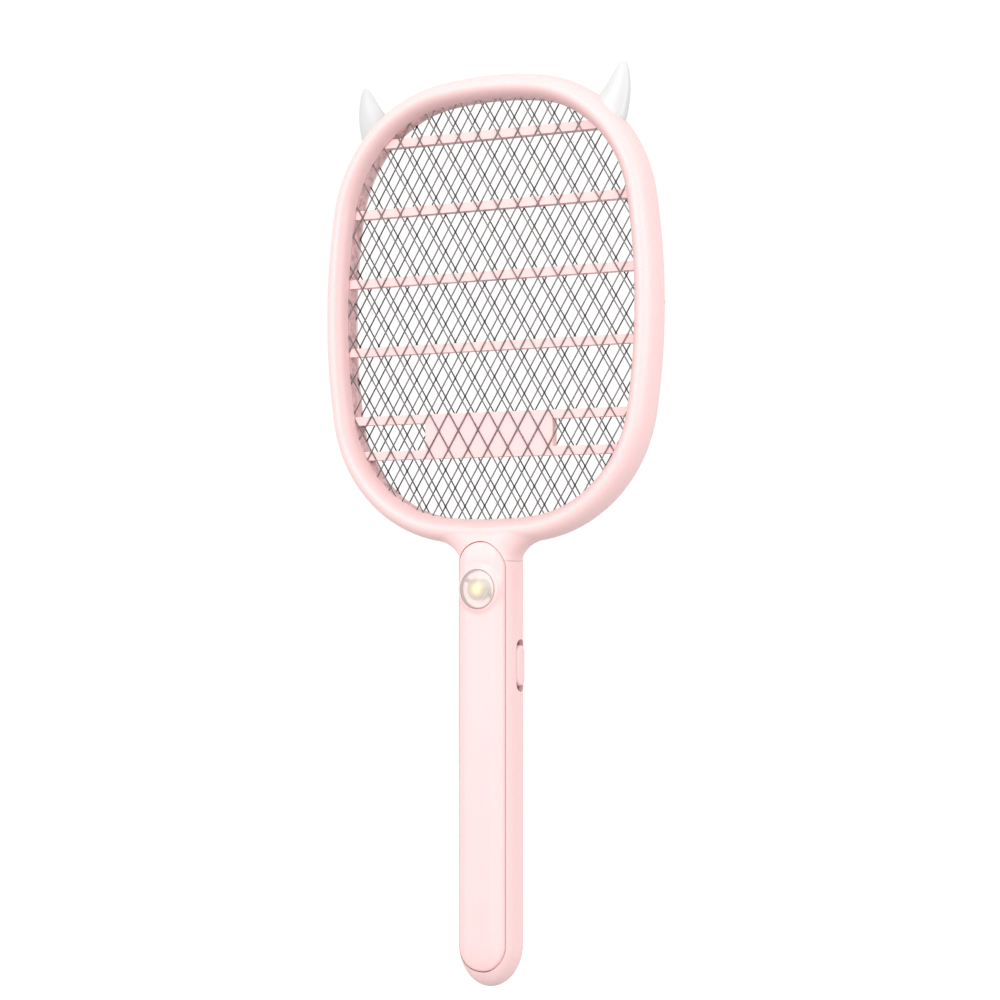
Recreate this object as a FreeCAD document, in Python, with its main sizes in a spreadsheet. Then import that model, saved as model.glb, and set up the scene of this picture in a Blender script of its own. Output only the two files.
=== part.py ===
"""Electric fly swatter: a racket head with two electrified grids on a straight battery handle.

Frame: origin at the lowest point of the handle, on its axis. +Z runs up the handle to the head,
+X is the swatter's right side as seen from the front, and the front faces -Y. Millimetres.
"""
import FreeCAD, Part
import Sketcher
import math
import os

Vector = FreeCAD.Vector
Rotation = FreeCAD.Rotation

# Driving dimensions. Each one becomes a named cell of the spreadsheet.
DIMENSIONS = {
    # window of the head: top arc, upper corner, side arc, lower corner, bottom arc, all tangent
    "window_half_width": 86.9,
    "window_bottom": 245.3,
    "window_top": 465.7,
    "window_widest": 354.9,
    "top_radius": 201.6,
    "upper_corner_radius": 64.9,
    "side_radius": 351.9,
    "lower_corner_radius": 64.3,
    "bottom_radius": 283.8,
    # rim: an elliptical tube round the window
    "rim_width": 13.4,
    "rim_depth": 22.0,
    "parting_y": 7.4,
    "seat_offset": 5.0,
    "channel_inner": 6.8,
    "channel_outer": 10.2,
    "channel_front": -7.0,
    # grids and spacer
    "grid_thickness": 0.5,
    "grid_gap": 6.6,
    "grid_edge": 4.6,
    "cell_width": 12.06,
    "cell_height": 19.5,
    "cell_start": 370.2,
    "strand_width": 0.55,
    "knuckle_length": 1.3,
    "spacer_inner": 0.3,
    "rib_height": 4.6,
    "rib_depth": 6.4,
    "rib_first": 445.5,
    "rib_pitch": 37.2,
    "rib_lowest": 277.7,
    "plate_half_width": 38.7,
    "plate_depth": 4.5,
    # handle
    "handle_width": 32.0,
    "handle_depth": 26.0,
    "handle_corner": 9.5,
    "handle_wall": 2.4,
    "end_height": 22.5,
    "cavity_floor": 15.0,
    "seam_z": 222.9,
    "flare_width": 14.0,
    "flare_height": 10.8,
    # front panel
    "panel_half_width": 13.85,
    "panel_bottom": 8.6,
    "panel_top": 232.9,
    "panel_gap": 0.35,
    "panel_back": -6.2,
    "panel_proud": 0.25,
    "panel_wall": 2.0,
    # lamp
    "lamp_z": 208.1,
    "lens_radius": 10.4,
    "collar_front_radius": 11.5,
    "collar_back_radius": 13.6,
    "collar_front": -14.2,
    "collar_back": -9.4,
    "lens_back": -12.6,
    # slide switch
    "switch_z": 168.15,
    "switch_y": 3.5,
    "slot_length": 27.5,
    "slot_width": 9.4,
    "knob_length": 21.4,
    "knob_width": 8.8,
    "knob_proud": 0.95,
    "switch_travel": 2.7,
    "slide_clearance": 0.3,
    # screws
    "screw_radius": 1.3,
    "screw_head_radius": 2.5,
    "screw_head_height": 1.3,
    # battery and boards
    "battery_radius": 9.1,
    "battery_length": 65.0,
    "battery_bottom": 44.0,
    "board_back": 6.2,
    "board_thickness": 1.6,
    "board_width": 19.4,
    "board_bottom": 119.0,
    "board_top": 184.0,
    "charger_z": 26.0,
}

doc = FreeCAD.newDocument("fly_swatter")
sheet = doc.addObject("Spreadsheet::Sheet", "dims")
for row, (alias, size) in enumerate(DIMENSIONS.items(), start=1):
    sheet.set(f"A{row}", alias)
    sheet.set(f"B{row}", str(size))
    sheet.setAlias(f"B{row}", alias)
doc.recompute()

NODES = []
SCRATCH_CELL = "D1"


def dim(alias):
    """A driving dimension as a number."""
    return float(sheet.get(alias))


def value(expression):
    """What an expression of dimensions comes to, worked out by the sheet."""
    sheet.set(SCRATCH_CELL, "=" + str(expression).replace("dims.", ""))
    sheet.recompute()
    result = float(sheet.get(SCRATCH_CELL))
    sheet.clear(SCRATCH_CELL)
    return result


def bind(obj, expressions):
    """Bind properties of an object to spreadsheet expressions, or set plain numbers."""
    for path, expression in expressions.items():
        obj.setExpression(path, str(expression))


def place(obj, position, rotation=None):
    """Put an object at three expressions, turned by a fixed rotation."""
    if rotation is not None:
        obj.Placement = FreeCAD.Placement(Vector(), rotation)
    axes = ("x", "y", "z")
    bind(obj, {f"Placement.Base.{axis}": offset for axis, offset in zip(axes, position)})
    return obj


def node(obj, label):
    """Register an object as a sub-part: its label names its file."""
    obj.Label = label
    NODES.append(obj)
    return obj


# ---------------------------------------------------------------- solids from expressions

ALONG = {
    "+Z": Rotation(),
    "+Y": Rotation(Vector(1, 0, 0), -90),
    "-Y": Rotation(Vector(1, 0, 0), 90),
    "+X": Rotation(Vector(0, 1, 0), 90),
}


def box(name, low, size):
    """A box from its lowest corner and its three sizes."""
    obj = doc.addObject("Part::Box", name)
    bind(obj, {"Length": size[0], "Width": size[1], "Height": size[2]})
    return place(obj, low)


def middle_box(name, centre, size):
    """A box about a centre."""
    low = [f"({c}) - ({s}) / 2" for c, s in zip(centre, size)]
    return box(name, low, size)


def cylinder(name, radius, height, base, along="+Z"):
    obj = doc.addObject("Part::Cylinder", name)
    bind(obj, {"Radius": radius, "Height": height})
    return place(obj, base, ALONG[along])


def cone(name, base_radius, top_radius, height, base, along="+Z"):
    obj = doc.addObject("Part::Cone", name)
    bind(obj, {"Radius1": base_radius, "Radius2": top_radius, "Height": height})
    return place(obj, base, ALONG[along])


def fuse(name, parts):
    obj = doc.addObject("Part::MultiFuse", name)
    obj.Shapes = parts
    return obj


def common(name, parts):
    obj = doc.addObject("Part::MultiCommon", name)
    obj.Shapes = parts
    return obj


def group(name, parts):
    """Separate solids held in one object."""
    obj = doc.addObject("Part::Compound", name)
    obj.Links = parts
    return obj


def cut(name, base, tools):
    """The base less every tool, one after the other."""
    last = len(tools) - 1
    for index, tool in enumerate(tools):
        obj = doc.addObject("Part::Cut", name if index == last else f"{name}_cut_{index}")
        obj.Base = base
        obj.Tool = tool
        base = obj
    return base


def extrude(name, sketch, direction, length):
    obj = doc.addObject("Part::Extrusion", name)
    obj.Base = sketch
    obj.DirMode = "Custom"
    obj.Dir = direction
    obj.Solid = True
    bind(obj, {"LengthFwd": length})
    return obj


def feature(name, shape):
    """An object whose shape is made with Part's own functions."""
    obj = doc.addObject("Part::Feature", name)
    obj.Shape = shape
    return obj


# ---------------------------------------------------------------- sketches

UPRIGHT = Rotation(Vector(1, 0, 0), 90)
SIDEWAYS = Rotation(Vector(1, 1, 1), 120)
START, END = 1, 2


def sketch(name, position, rotation=None):
    return place(doc.addObject("Sketcher::SketchObject", name), position, rotation)


def constrain(sk, kind, *args):
    return sk.addConstraint(Sketcher.Constraint(kind, *args))


def drive(sk, index, expression):
    sk.setExpression(f"Constraints[{index}]", str(expression))


def arc(sk, centre, radius, start, end):
    """An arc from the angle start to the angle end, in radians, anticlockwise."""
    circle = Part.Circle(Vector(centre[0], centre[1], 0), Vector(0, 0, 1), radius)
    return sk.addGeometry(Part.ArcOfCircle(circle, start, end), False)


def corner_centre(side, side_radius, other, other_radius, radius):
    """Centre, on the right, of a corner arc tangent inside two larger arcs."""
    reach_side = side_radius - radius
    reach_other = other_radius - radius
    gap = math.hypot(other[0] - side[0], other[1] - side[1])
    along = (reach_side**2 - reach_other**2 + gap**2) / (2 * gap)
    aside = math.sqrt(reach_side**2 - along**2)
    ux = (other[0] - side[0]) / gap
    uy = (other[1] - side[1]) / gap
    foot = (side[0] + along * ux, side[1] + along * uy)
    choices = [(foot[0] + sign * aside * uy, foot[1] - sign * aside * ux) for sign in (1, -1)]
    return max(choices)


def window_arcs(offset):
    """The head's outline at an offset outside the window: its right half, from the bottom up.

    Each arc is its centre, radius, start angle and end angle, and the name of its radius.
    """
    top = (0.0, dim("window_top") - dim("top_radius"))
    bottom = (0.0, dim("window_bottom") + dim("bottom_radius"))
    side = (dim("window_half_width") - dim("side_radius"), dim("window_widest"))
    upper = corner_centre(side, dim("side_radius"), top, dim("top_radius"), dim("upper_corner_radius"))
    lower = corner_centre(side, dim("side_radius"), bottom, dim("bottom_radius"), dim("lower_corner_radius"))

    def heading(start, end):
        return math.atan2(end[1] - start[1], end[0] - start[0])

    breaks = (
        -math.pi / 2,
        heading(bottom, lower),
        heading(side, lower),
        heading(side, upper),
        heading(top, upper),
        math.pi / 2,
    )
    centres = (bottom, lower, side, upper, top)
    names = ("bottom_radius", "lower_corner_radius", "side_radius", "upper_corner_radius", "top_radius")
    return [
        (centre, dim(alias) + offset, breaks[index], breaks[index + 1], alias)
        for index, (centre, alias) in enumerate(zip(centres, names))
    ]


def window_sketch(name, offset, y):
    """Closed outline of tangent arcs at an offset outside the window, upright at a given Y."""
    sk = sketch(name, ("0", y, "0"), UPRIGHT)
    right = window_arcs(value(offset))
    left = [
        ((-centre[0], centre[1]), radius, math.pi - end, math.pi - start, alias)
        for centre, radius, start, end, alias in reversed(right)
    ]
    loop = right + left
    arcs = [arc(sk, *entry[:4]) for entry in loop]
    for here, after in zip(arcs, arcs[1:] + arcs[:1]):
        constrain(sk, "Coincident", here, END, after, START)
    for index, entry in zip(arcs, loop):
        drive(sk, constrain(sk, "Radius", index, entry[1]), f"dims.{entry[4]} + ({offset})")
    return sk


def tube_sketch(name, offset, z):
    """The handle's rounded rectangle at an offset outside it, flat at a given height."""
    sk = sketch(name, ("0", "0", z))
    grow = value(offset)
    half_width = dim("handle_width") / 2 + grow
    half_depth = dim("handle_depth") / 2 + grow
    radius = dim("handle_corner") + grow
    corners = []
    for quarter, (sx, sy) in enumerate(((1, 1), (-1, 1), (-1, -1), (1, -1))):
        centre = (sx * (half_width - radius), sy * (half_depth - radius))
        corners.append(arc(sk, centre, radius, quarter * math.pi / 2, (quarter + 1) * math.pi / 2))
    for quarter, here in enumerate(corners):
        after = corners[(quarter + 1) % 4]
        start = sk.getPoint(here, END)
        end = sk.getPoint(after, START)
        line = sk.addGeometry(Part.LineSegment(start, end), False)
        constrain(sk, "Coincident", here, END, line, START)
        constrain(sk, "Coincident", line, END, after, START)
        number = constrain(sk, "Radius", here, radius)
        drive(sk, number, f"dims.handle_corner + ({offset})")
    return sk


def capsule_sketch(name, half_width, low, high, position, rotation):
    """A stadium with its long axis up: half its width, and its lowest and highest points."""
    sk = sketch(name, position, rotation)
    radius = value(half_width)
    bottom = value(low) + radius
    top = value(high) - radius
    lower = arc(sk, (0, bottom), radius, math.pi, 2 * math.pi)
    upper = arc(sk, (0, top), radius, 0, math.pi)
    right = sk.addGeometry(Part.LineSegment(Vector(radius, bottom, 0), Vector(radius, top, 0)), False)
    left = sk.addGeometry(Part.LineSegment(Vector(-radius, top, 0), Vector(-radius, bottom, 0)), False)
    constrain(sk, "Tangent", lower, END, right, START)
    constrain(sk, "Tangent", right, END, upper, START)
    constrain(sk, "Tangent", upper, END, left, START)
    constrain(sk, "Tangent", left, END, lower, START)
    constrain(sk, "Vertical", right)
    constrain(sk, "PointOnObject", lower, 3, -2)
    drive(sk, constrain(sk, "Radius", lower, radius), half_width)
    drive(sk, constrain(sk, "DistanceY", -1, 1, lower, 3, bottom), f"({low}) + ({half_width})")
    drive(sk, constrain(sk, "DistanceY", -1, 1, upper, 3, top), f"({high}) - ({half_width})")
    return sk


# ---------------------------------------------------------------- outer forms

def rounded_rectangle(half_width, half_depth, radius, z):
    """Closed wire of four lines and four arcs, level at z."""
    bends = []
    for quarter, (sx, sy) in enumerate(((1, 1), (-1, 1), (-1, -1), (1, -1))):
        centre = Vector(sx * (half_width - radius), sy * (half_depth - radius), z)
        circle = Part.Circle(centre, Vector(0, 0, 1), radius)
        bends.append(Part.ArcOfCircle(circle, quarter * math.pi / 2, (quarter + 1) * math.pi / 2))
    lines = [
        Part.LineSegment(here.EndPoint, after.StartPoint)
        for here, after in zip(bends, bends[1:] + bends[:1])
    ]
    return Part.Wire([item.toShape() for pair in zip(bends, lines) for item in pair])


def blended_section(half_width, half_depth, radius, ellipse_share, z):
    """Closed curve of four splines between the rounded rectangle and an ellipse of the same size."""
    steps = (0, 18, 36, 54, 72, 90)
    first = math.asin((half_depth - radius) / half_depth)
    last = math.acos((half_width - radius) / half_width)
    quarter = [(half_width, 0.0)]
    for step in steps:
        turn = math.radians(step)
        round_x = half_width - radius + radius * math.cos(turn)
        round_y = half_depth - radius + radius * math.sin(turn)
        mapped = first + (last - first) * step / 90
        oval_x = half_width * math.cos(mapped)
        oval_y = half_depth * math.sin(mapped)
        x = round_x + (oval_x - round_x) * ellipse_share
        y = round_y + (oval_y - round_y) * ellipse_share
        quarter.append((x, y))
    flat_x = (half_width - radius) / 2
    flat_y = half_depth * math.sin(math.acos(flat_x / half_width))
    quarter.append((flat_x, half_depth + (flat_y - half_depth) * ellipse_share))
    quarter.append((0.0, half_depth))
    edges = []
    for sx, sy in ((1, 1), (-1, 1), (-1, -1), (1, -1)):
        points = [Vector(sx * x, sy * y, z) for x, y in quarter]
        tangents = [Vector(0, sy, 0), Vector(-sx, 0, 0)]
        if sx * sy < 0:
            points.reverse()
            tangents = [-tangents[1], -tangents[0]]
        curve = Part.BSplineCurve()
        curve.interpolate(points, InitialTangent=tangents[0], FinalTangent=tangents[1])
        edges.append(curve.toShape())
    return Part.Wire(edges)


def plain_section(half_width, half_depth, radius, z):
    """The rounded rectangle made of the same four splines as the neck's sections."""
    return blended_section(half_width, half_depth, radius, 0, z)


def handle_solid(section_at):
    """The straight handle with its rounded lower end."""
    half_width = dim("handle_width") / 2
    half_depth = dim("handle_depth") / 2
    corner = dim("handle_corner")
    height = dim("end_height")
    sections = []
    for angle in (10, 17, 25, 36, 48, 60, 70, 80, 90):
        scale = math.sin(math.radians(angle))
        z = height * (1 - math.cos(math.radians(angle))) if sections else 0.0
        sections.append(section_at(half_width * scale, half_depth * scale, corner * scale, z))
    end = Part.makeLoft(sections, True)
    section = section_at(half_width, half_depth, corner, height)
    straight = Part.Face(section).extrude(Vector(0, 0, dim("seam_z") - height))
    return end.fuse(straight).removeSplitter()


def flare_at(share):
    """How far the neck's side stands out at a share of the flare's height.

    A superellipse quarter that levels off inside the rim instead of ending square.
    """
    power = 1.6
    join = 0.96
    fade = 0.08
    width = dim("flare_width")
    reached = min(share, join)
    flare = width * (1 - (1 - reached**power) ** (1 / power))
    extra = width * 0.22
    return flare + extra * (1 - math.exp(-(share - reached) / fade))


def neck_solid():
    """The flare from the handle's section out to the rim, ending inside the rim."""
    half_width = dim("handle_width") / 2
    half_depth = dim("handle_depth") / 2
    last_depth = dim("rim_depth") / 2 - 0.2
    rise = dim("window_bottom") - dim("rim_width") / 2 + 1.0 - dim("seam_z")
    last_share = rise / dim("flare_height")
    sections = []
    for share in (0.0, 0.15, 0.3, 0.45, 0.6, 0.72, 0.82, 0.9, 0.96, 1.02, 1.12, 1.3, last_share):
        progress = share / last_share
        ease = progress * progress * (3 - 2 * progress)
        depth = half_depth + (last_depth - half_depth) * ease
        z = dim("seam_z") + dim("flare_height") * share
        width = half_width + flare_at(share)
        sections.append(blended_section(width, depth, dim("handle_corner"), min(1.0, 1.4 * share), z))
    return Part.makeLoft(sections, True)


def level(z):
    """Position expressions of something on the axis at a height."""
    return ("0", "0", z)


# the rim's tube, the handle and the flare between them
rim_path = window_sketch("rim_path", "dims.rim_width / 2", "0")
rim_profile = doc.addObject("Part::Ellipse", "rim_profile")
bind(rim_profile, {"MajorRadius": "dims.rim_depth / 2", "MinorRadius": "dims.rim_width / 2"})
place(rim_profile, level("dims.window_bottom - dims.rim_width / 2"), SIDEWAYS)
doc.recompute()
rim_form = doc.addObject("Part::Sweep", "rim_form")
rim_form.Sections = [rim_profile]
rim_form.Spine = (rim_path, [f"Edge{index + 1}" for index in range(len(rim_path.Shape.Edges))])
rim_form.Solid = True
rim_form.Frenet = True
handle_form = feature("handle_form", handle_solid(rounded_rectangle))
neck_form = feature("neck_form", neck_solid())
head_form = fuse("head_form", [rim_form, neck_form])

# slabs and prisms that shape several pieces
INTO = Vector(0, 1, 0)
UP = Vector(0, 0, 1)
WIDE = "300"
behind_parting = box("behind_parting", ("-150", "dims.parting_y", "200"), (WIDE, "30", WIDE))


def window_prism(name, offset, y, depth):
    """Everything inside an offset of the window, from y for a depth towards the back."""
    return extrude(name, window_sketch(f"{name}_sketch", offset, y), INTO, depth)


def handle_tube(name, offset, low, high):
    """The handle's rounded rectangle at an offset, between two heights."""
    return extrude(name, tube_sketch(f"{name}_sketch", offset, low), UP, f"({high}) - ({low})")


def panel_prism(name, gap):
    """The front panel's stadium, grown by a gap, from the front down to the panel's back."""
    outline = capsule_sketch(
        f"{name}_sketch",
        f"dims.panel_half_width + {gap}",
        f"dims.panel_bottom - {gap}",
        f"dims.panel_top + {gap}",
        ("0", "-20", "0"),
        UPRIGHT,
    )
    return extrude(name, outline, INTO, "20 + dims.panel_back")


# ---------------------------------------------------------------- head

HEAD_SCREW_SPOTS = (
    # arc of the outline counted from the bottom, and the share of that arc
    (1, 0.55),
    (2, 0.5),
    (3, 0.25),
    (4, 0.45),
)


def outline_point(arc_index, share, offset):
    """A point on the right half of an offset outline."""
    centre, radius, start, end, _ = window_arcs(offset)[arc_index]
    turn = start + (end - start) * share
    return (centre[0] + radius * math.cos(turn), centre[1] + radius * math.sin(turn))


def head_screw_points():
    middle = (dim("channel_inner") + dim("channel_outer")) / 2
    right = [outline_point(index, share, middle) for index, share in HEAD_SCREW_SPOTS]
    return right + [(-x, z) for x, z in right]


def at_points(prefix, points, make):
    """One object for each point (x, z)."""
    return [make(f"{prefix}_{index}", x, z) for index, (x, z) in enumerate(points)]


seat = window_prism("seat", "dims.seat_offset", "-(dims.grid_gap / 2 + dims.grid_thickness + 0.05)", "20")
channel_outside = window_prism("channel_outside", "dims.channel_outer", "dims.channel_front", "20")
channel_inside = window_prism("channel_inside", "dims.channel_inner", "dims.channel_front - 1", "22")
screw_bosses = fuse(
    "screw_bosses",
    at_points(
        "head_boss",
        head_screw_points(),
        lambda name, x, z: cylinder(name, "3.4", "22", (x, "dims.channel_front - 1", z), "+Y"),
    ),
)
channel = cut("channel", channel_outside, [channel_inside, screw_bosses])
wire_passage = fuse(
    "wire_passage",
    [
        box("passage_low", ("-9", "-4.2", "dims.seam_z - 1"), ("18", "6.7", "6")),
        box("passage_high", ("-9", "-4.2", "dims.seam_z + 3.6"), ("18", "8.4", "15")),
    ],
)
panel_recess = panel_prism("panel_recess", "dims.panel_gap")
front_screw_holes = fuse(
    "front_screw_holes",
    at_points(
        "front_screw_hole",
        head_screw_points(),
        lambda name, x, z: cylinder(name, "dims.screw_radius", "20", (x, "-4.5", z), "+Y"),
    ),
)
HORN_PEG = {"x": 72.2, "z": 455.5, "turn": 45.0}


def horn_peg(name, radius, side):
    """The pin that holds a horn in the rim, square to the rim's corner."""
    peg = cylinder(name, radius, "9", (0, 0, 0))
    lean = side * HORN_PEG["turn"]
    turn = Rotation(Vector(0, 1, 0), lean)
    foot = turn.multVec(Vector(0, 0, -3.5))
    return place(peg, (side * HORN_PEG["x"] + foot.x, "0", HORN_PEG["z"] + foot.z), turn)


tongue_tube = handle_tube("tongue_tube", "-dims.handle_wall - 0.1", "206", "dims.seam_z")
tongue_back = box("tongue_back", ("-15", "3", "200"), ("30", "7.4", "30"))
tongue = common("tongue", [tongue_tube, tongue_back])
tongue_bond = box("tongue_bond", ("-12", "3", "dims.seam_z - 1"), ("24", "dims.parting_y - 3", "4"))
tongue_holes = [
    cylinder(f"tongue_hole_{index}", "dims.screw_radius", "9", (x, "2.5", "213"), "+Y")
    for index, x in enumerate((-6, 6))
]
front_shell = cut(
    "front_shell",
    head_form,
    [behind_parting, seat, channel, wire_passage, panel_recess, front_screw_holes]
    + [horn_peg("right_peg_hole", "2.05", 1), horn_peg("left_peg_hole", "2.05", -1)],
)
tongued_shell = fuse("tongued_shell", [front_shell, tongue, tongue_bond])
node(cut("head_front_frame", tongued_shell, tongue_holes), "head_front_frame")

flange = window_prism(
    "flange",
    "dims.seat_offset - 0.15",
    "dims.grid_gap / 2 + dims.grid_thickness + 0.05",
    "5",
)
rear_region = fuse("rear_region", [behind_parting, flange])
rear_shell = common("rear_shell", [head_form, rear_region])
rear_screw_holes = at_points(
    "rear_screw_hole",
    head_screw_points(),
    lambda name, x, z: cylinder(name, "dims.screw_radius + 0.1", "8", (x, "5", z), "+Y"),
)
rear_screw_sinks = at_points(
    "rear_screw_sink",
    head_screw_points(),
    lambda name, x, z: cylinder(name, "dims.screw_head_radius + 0.15", "5", (x, "8.4", z), "+Y"),
)
node(cut("head_rear_frame", rear_shell, rear_screw_holes + rear_screw_sinks), "head_rear_frame")


def screw_solid(length):
    """A pan-head screw along -Y from its head, with a cross recess; the head's underside at y=0."""
    radius = dim("screw_radius")
    head_radius = dim("screw_head_radius")
    head = dim("screw_head_height")
    edge = 0.5
    profile = [
        Vector(0, -length, 0),
        Vector(radius - 0.5, -length, 0),
        Vector(radius, -length + 1, 0),
        Vector(radius, 0, 0),
        Vector(head_radius, 0, 0),
        Vector(head_radius, head - edge, 0),
        Vector(head_radius - edge, head, 0),
        Vector(0, head, 0),
        Vector(0, -length, 0),
    ]
    face = Part.Face(Part.makePolygon(profile))
    solid = face.revolve(Vector(), Vector(0, 1, 0), 360)
    slot = Part.makeBox(3.0, 1.0, 0.7, Vector(-1.5, head - 0.8, -0.35))
    cross = Part.makeBox(0.7, 1.0, 3.0, Vector(-0.35, head - 0.8, -1.5))
    return solid.cut(slot).cut(cross)


def screw_group(name, points, under_head, length):
    """Identical screws from the back, each a separate solid."""
    screw = screw_solid(length)
    placed = [screw.translated(Vector(x, under_head, z)) for x, z in points]
    return node(feature(name, Part.makeCompound(placed)), name)


screw_group("head_screws", head_screw_points(), 8.4, 12.0)


def cell(x, z):
    """One opening of the grid: a rhombus whose side corners are cut off by the knuckles."""
    half_width = dim("cell_width") / 2
    half_height = dim("cell_height") / 2
    diagonal = math.hypot(half_width, half_height)
    strand = dim("strand_width") / 2
    inner_height = half_height - strand * diagonal / half_width
    inner_width = half_width - strand * diagonal / half_height
    knuckle = dim("knuckle_length") / 2 - strand
    side = inner_width * (1 - knuckle / inner_height)
    corners = [
        (side, knuckle),
        (0, inner_height),
        (-side, knuckle),
        (-side, -knuckle),
        (0, -inner_height),
        (side, -knuckle),
        (side, knuckle),
    ]
    return Part.Face(Part.makePolygon([Vector(x + dx, 0, z + dz) for dx, dz in corners]))


def window_face(offset):
    """A flat face inside an offset outline of the window, at y=0."""
    right = window_arcs(offset)
    edges = []
    for centre, radius, start, end, _ in right:
        for sign in (1, -1):
            middle = (start + end) / 2
            ends = [
                Vector(sign * (centre[0] + radius * math.cos(turn)), 0, centre[1] + radius * math.sin(turn))
                for turn in (start, middle, end)
            ]
            edges.append(Part.Arc(*ends).toShape())
    return Part.Face(Part.Wire(Part.__sortEdges__(edges)))


def grid_solid(drop):
    """An expanded-metal grid, its cells cut out of a flat blank inside a solid border."""
    border = 1.2
    columns = int(dim("window_half_width") // (dim("cell_width") / 2)) + 2
    rows = int((dim("window_top") - dim("window_bottom")) // dim("cell_height")) + 2
    cells = []
    for column in range(-columns, columns + 1):
        shift = dim("cell_height") / 2 if column % 2 else 0.0
        for line in range(-rows, rows + 1):
            z = dim("cell_start") + shift + line * dim("cell_height") - drop
            cells.append(cell(column * dim("cell_width") / 2, z))
    openings = Part.makeCompound(cells).common(window_face(dim("grid_edge") - border))
    blank = window_face(dim("grid_edge")).cut(openings)
    return blank.Faces[0].extrude(Vector(0, dim("grid_thickness"), 0))


def grid(name, front_y, drop):
    obj = feature(name, grid_solid(drop))
    return node(place(obj, ("0", front_y, "0")), name)


grid("front_grid", "-(dims.grid_gap / 2 + dims.grid_thickness)", 0.0)
grid("rear_grid", "dims.grid_gap / 2", 0.9)

spacer_outside = window_prism("spacer_outside", "dims.grid_edge", "-dims.grid_gap / 2", "dims.grid_gap")
spacer_inside = window_prism(
    "spacer_inside",
    "dims.spacer_inner",
    "-dims.grid_gap / 2 - 1",
    "dims.grid_gap + 2",
)
spacer_ring = cut("spacer_ring", spacer_outside, [spacer_inside])
rib_bounds = window_prism("rib_bounds", "dims.spacer_inner + 1", "-dims.rib_depth / 2", "dims.rib_depth")
rib_bottoms = [f"dims.rib_first - {step} * dims.rib_pitch" for step in range(5)] + ["dims.rib_lowest"]
ribs = [
    box(f"rib_{index}", ("-100", "-dims.rib_depth / 2", bottom), ("200", "dims.rib_depth", "dims.rib_height"))
    for index, bottom in enumerate(rib_bottoms)
]
rib_plate = box(
    "rib_plate",
    ("-dims.plate_half_width", "-dims.rib_depth / 2", "dims.rib_lowest"),
    (
        "2 * dims.plate_half_width",
        "dims.plate_depth",
        "dims.rib_first - 4 * dims.rib_pitch - dims.rib_lowest + 1",
    ),
)
rib_set = fuse("rib_set", ribs + [rib_plate])
trimmed_ribs = common("trimmed_ribs", [rib_set, rib_bounds])
node(fuse("spacer_grid", [spacer_ring, trimmed_ribs]), "spacer_grid")

# horn: level oval sections, each (height, inner edge, outer edge)
HORN_SECTIONS = (
    (449.3, 73.6, 79.6),
    (454.5, 69.6, 81.0),
    (461.0, 65.2, 82.0),
    (466.5, 68.2, 82.2),
    (471.5, 71.7, 81.8),
    (476.0, 74.7, 80.9),
    (478.9, 76.8, 80.0),
)
HORN_TIP = (78.6, 480.0)
HORN_ROUNDNESS = 0.25


def horn_oval(index, z, inner, outer):
    oval = doc.addObject("Part::Ellipse", f"horn_oval_{index}")
    half_width = (outer - inner) / 2
    half_depth = (outer - inner) * HORN_ROUNDNESS
    bind(oval, {"MajorRadius": half_width, "MinorRadius": half_depth})
    return place(oval, ((inner + outer) / 2, "0", z), Rotation())


horn_ovals = [horn_oval(index, *section) for index, section in enumerate(HORN_SECTIONS)]
horn_tip = doc.addObject("Part::Vertex", "horn_tip")
bind(horn_tip, {"X": HORN_TIP[0], "Y": 0, "Z": HORN_TIP[1]})
horn_form = doc.addObject("Part::Loft", "horn_form")
horn_form.Sections = horn_ovals + [horn_tip]
horn_form.Solid = True
horn_shell = cut("horn_shell", horn_form, [rim_form])
horn_pin = horn_peg("horn_pin", "2", 1)
right_horn = node(fuse("right_horn", [horn_shell, horn_pin]), "right_horn")
left_horn = doc.addObject("Part::Mirroring", "left_horn")
left_horn.Source = right_horn
left_horn.Normal = Vector(1, 0, 0)
node(left_horn, "left_horn")


# ---------------------------------------------------------------- handle

def side_capsule(name, length, width, low_x, high_x):
    """A capsule on the handle's right side, standing out along +X."""
    outline = capsule_sketch(
        f"{name}_sketch",
        f"{width} / 2",
        f"dims.switch_z - {length} / 2",
        f"dims.switch_z + {length} / 2",
        (low_x, "dims.switch_y", "0"),
        SIDEWAYS,
    )
    return extrude(name, outline, Vector(1, 0, 0), f"({high_x}) - ({low_x})")


POST_HEIGHTS = (39.0, 114.2, 189.5)
TONGUE_SCREWS = ((-6.0, 213.0), (6.0, 213.0))
HANDLE_SCREWS = tuple((0.0, z) for z in POST_HEIGHTS) + TONGUE_SCREWS

cavity = handle_tube("cavity", "-dims.handle_wall", "dims.cavity_floor", "dims.seam_z + 1")
switch_slot = side_capsule("switch_slot", "dims.slot_length", "dims.slot_width", "8", "20")
housing_screw_holes = [
    cylinder(f"housing_screw_hole_{index}", "dims.screw_radius + 0.1", "6", (x, "9", z), "+Y")
    for index, (x, z) in enumerate(HANDLE_SCREWS)
]
housing_screw_sinks = [
    cylinder(f"housing_screw_sink_{index}", "dims.screw_head_radius + 0.15", "4", (x, "11.6", z), "+Y")
    for index, (x, z) in enumerate(HANDLE_SCREWS)
]


def flat_capsule(name, half_width, half_height, y, depth, z):
    """A capsule lying across the handle, for the charging port, from y towards the back."""
    reach = f"({half_width} - {half_height})"
    ends = [
        cylinder(f"{name}_end_{index}", half_height, depth, (f"{sign} * {reach}", y, z), "+Y")
        for index, sign in enumerate((-1, 1))
    ]
    bar = box(
        f"{name}_bar",
        (f"-{reach}", y, f"({z}) - {half_height}"),
        (f"2 * {reach}", depth, f"2 * {half_height}"),
    )
    return fuse(name, ends + [bar])


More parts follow.
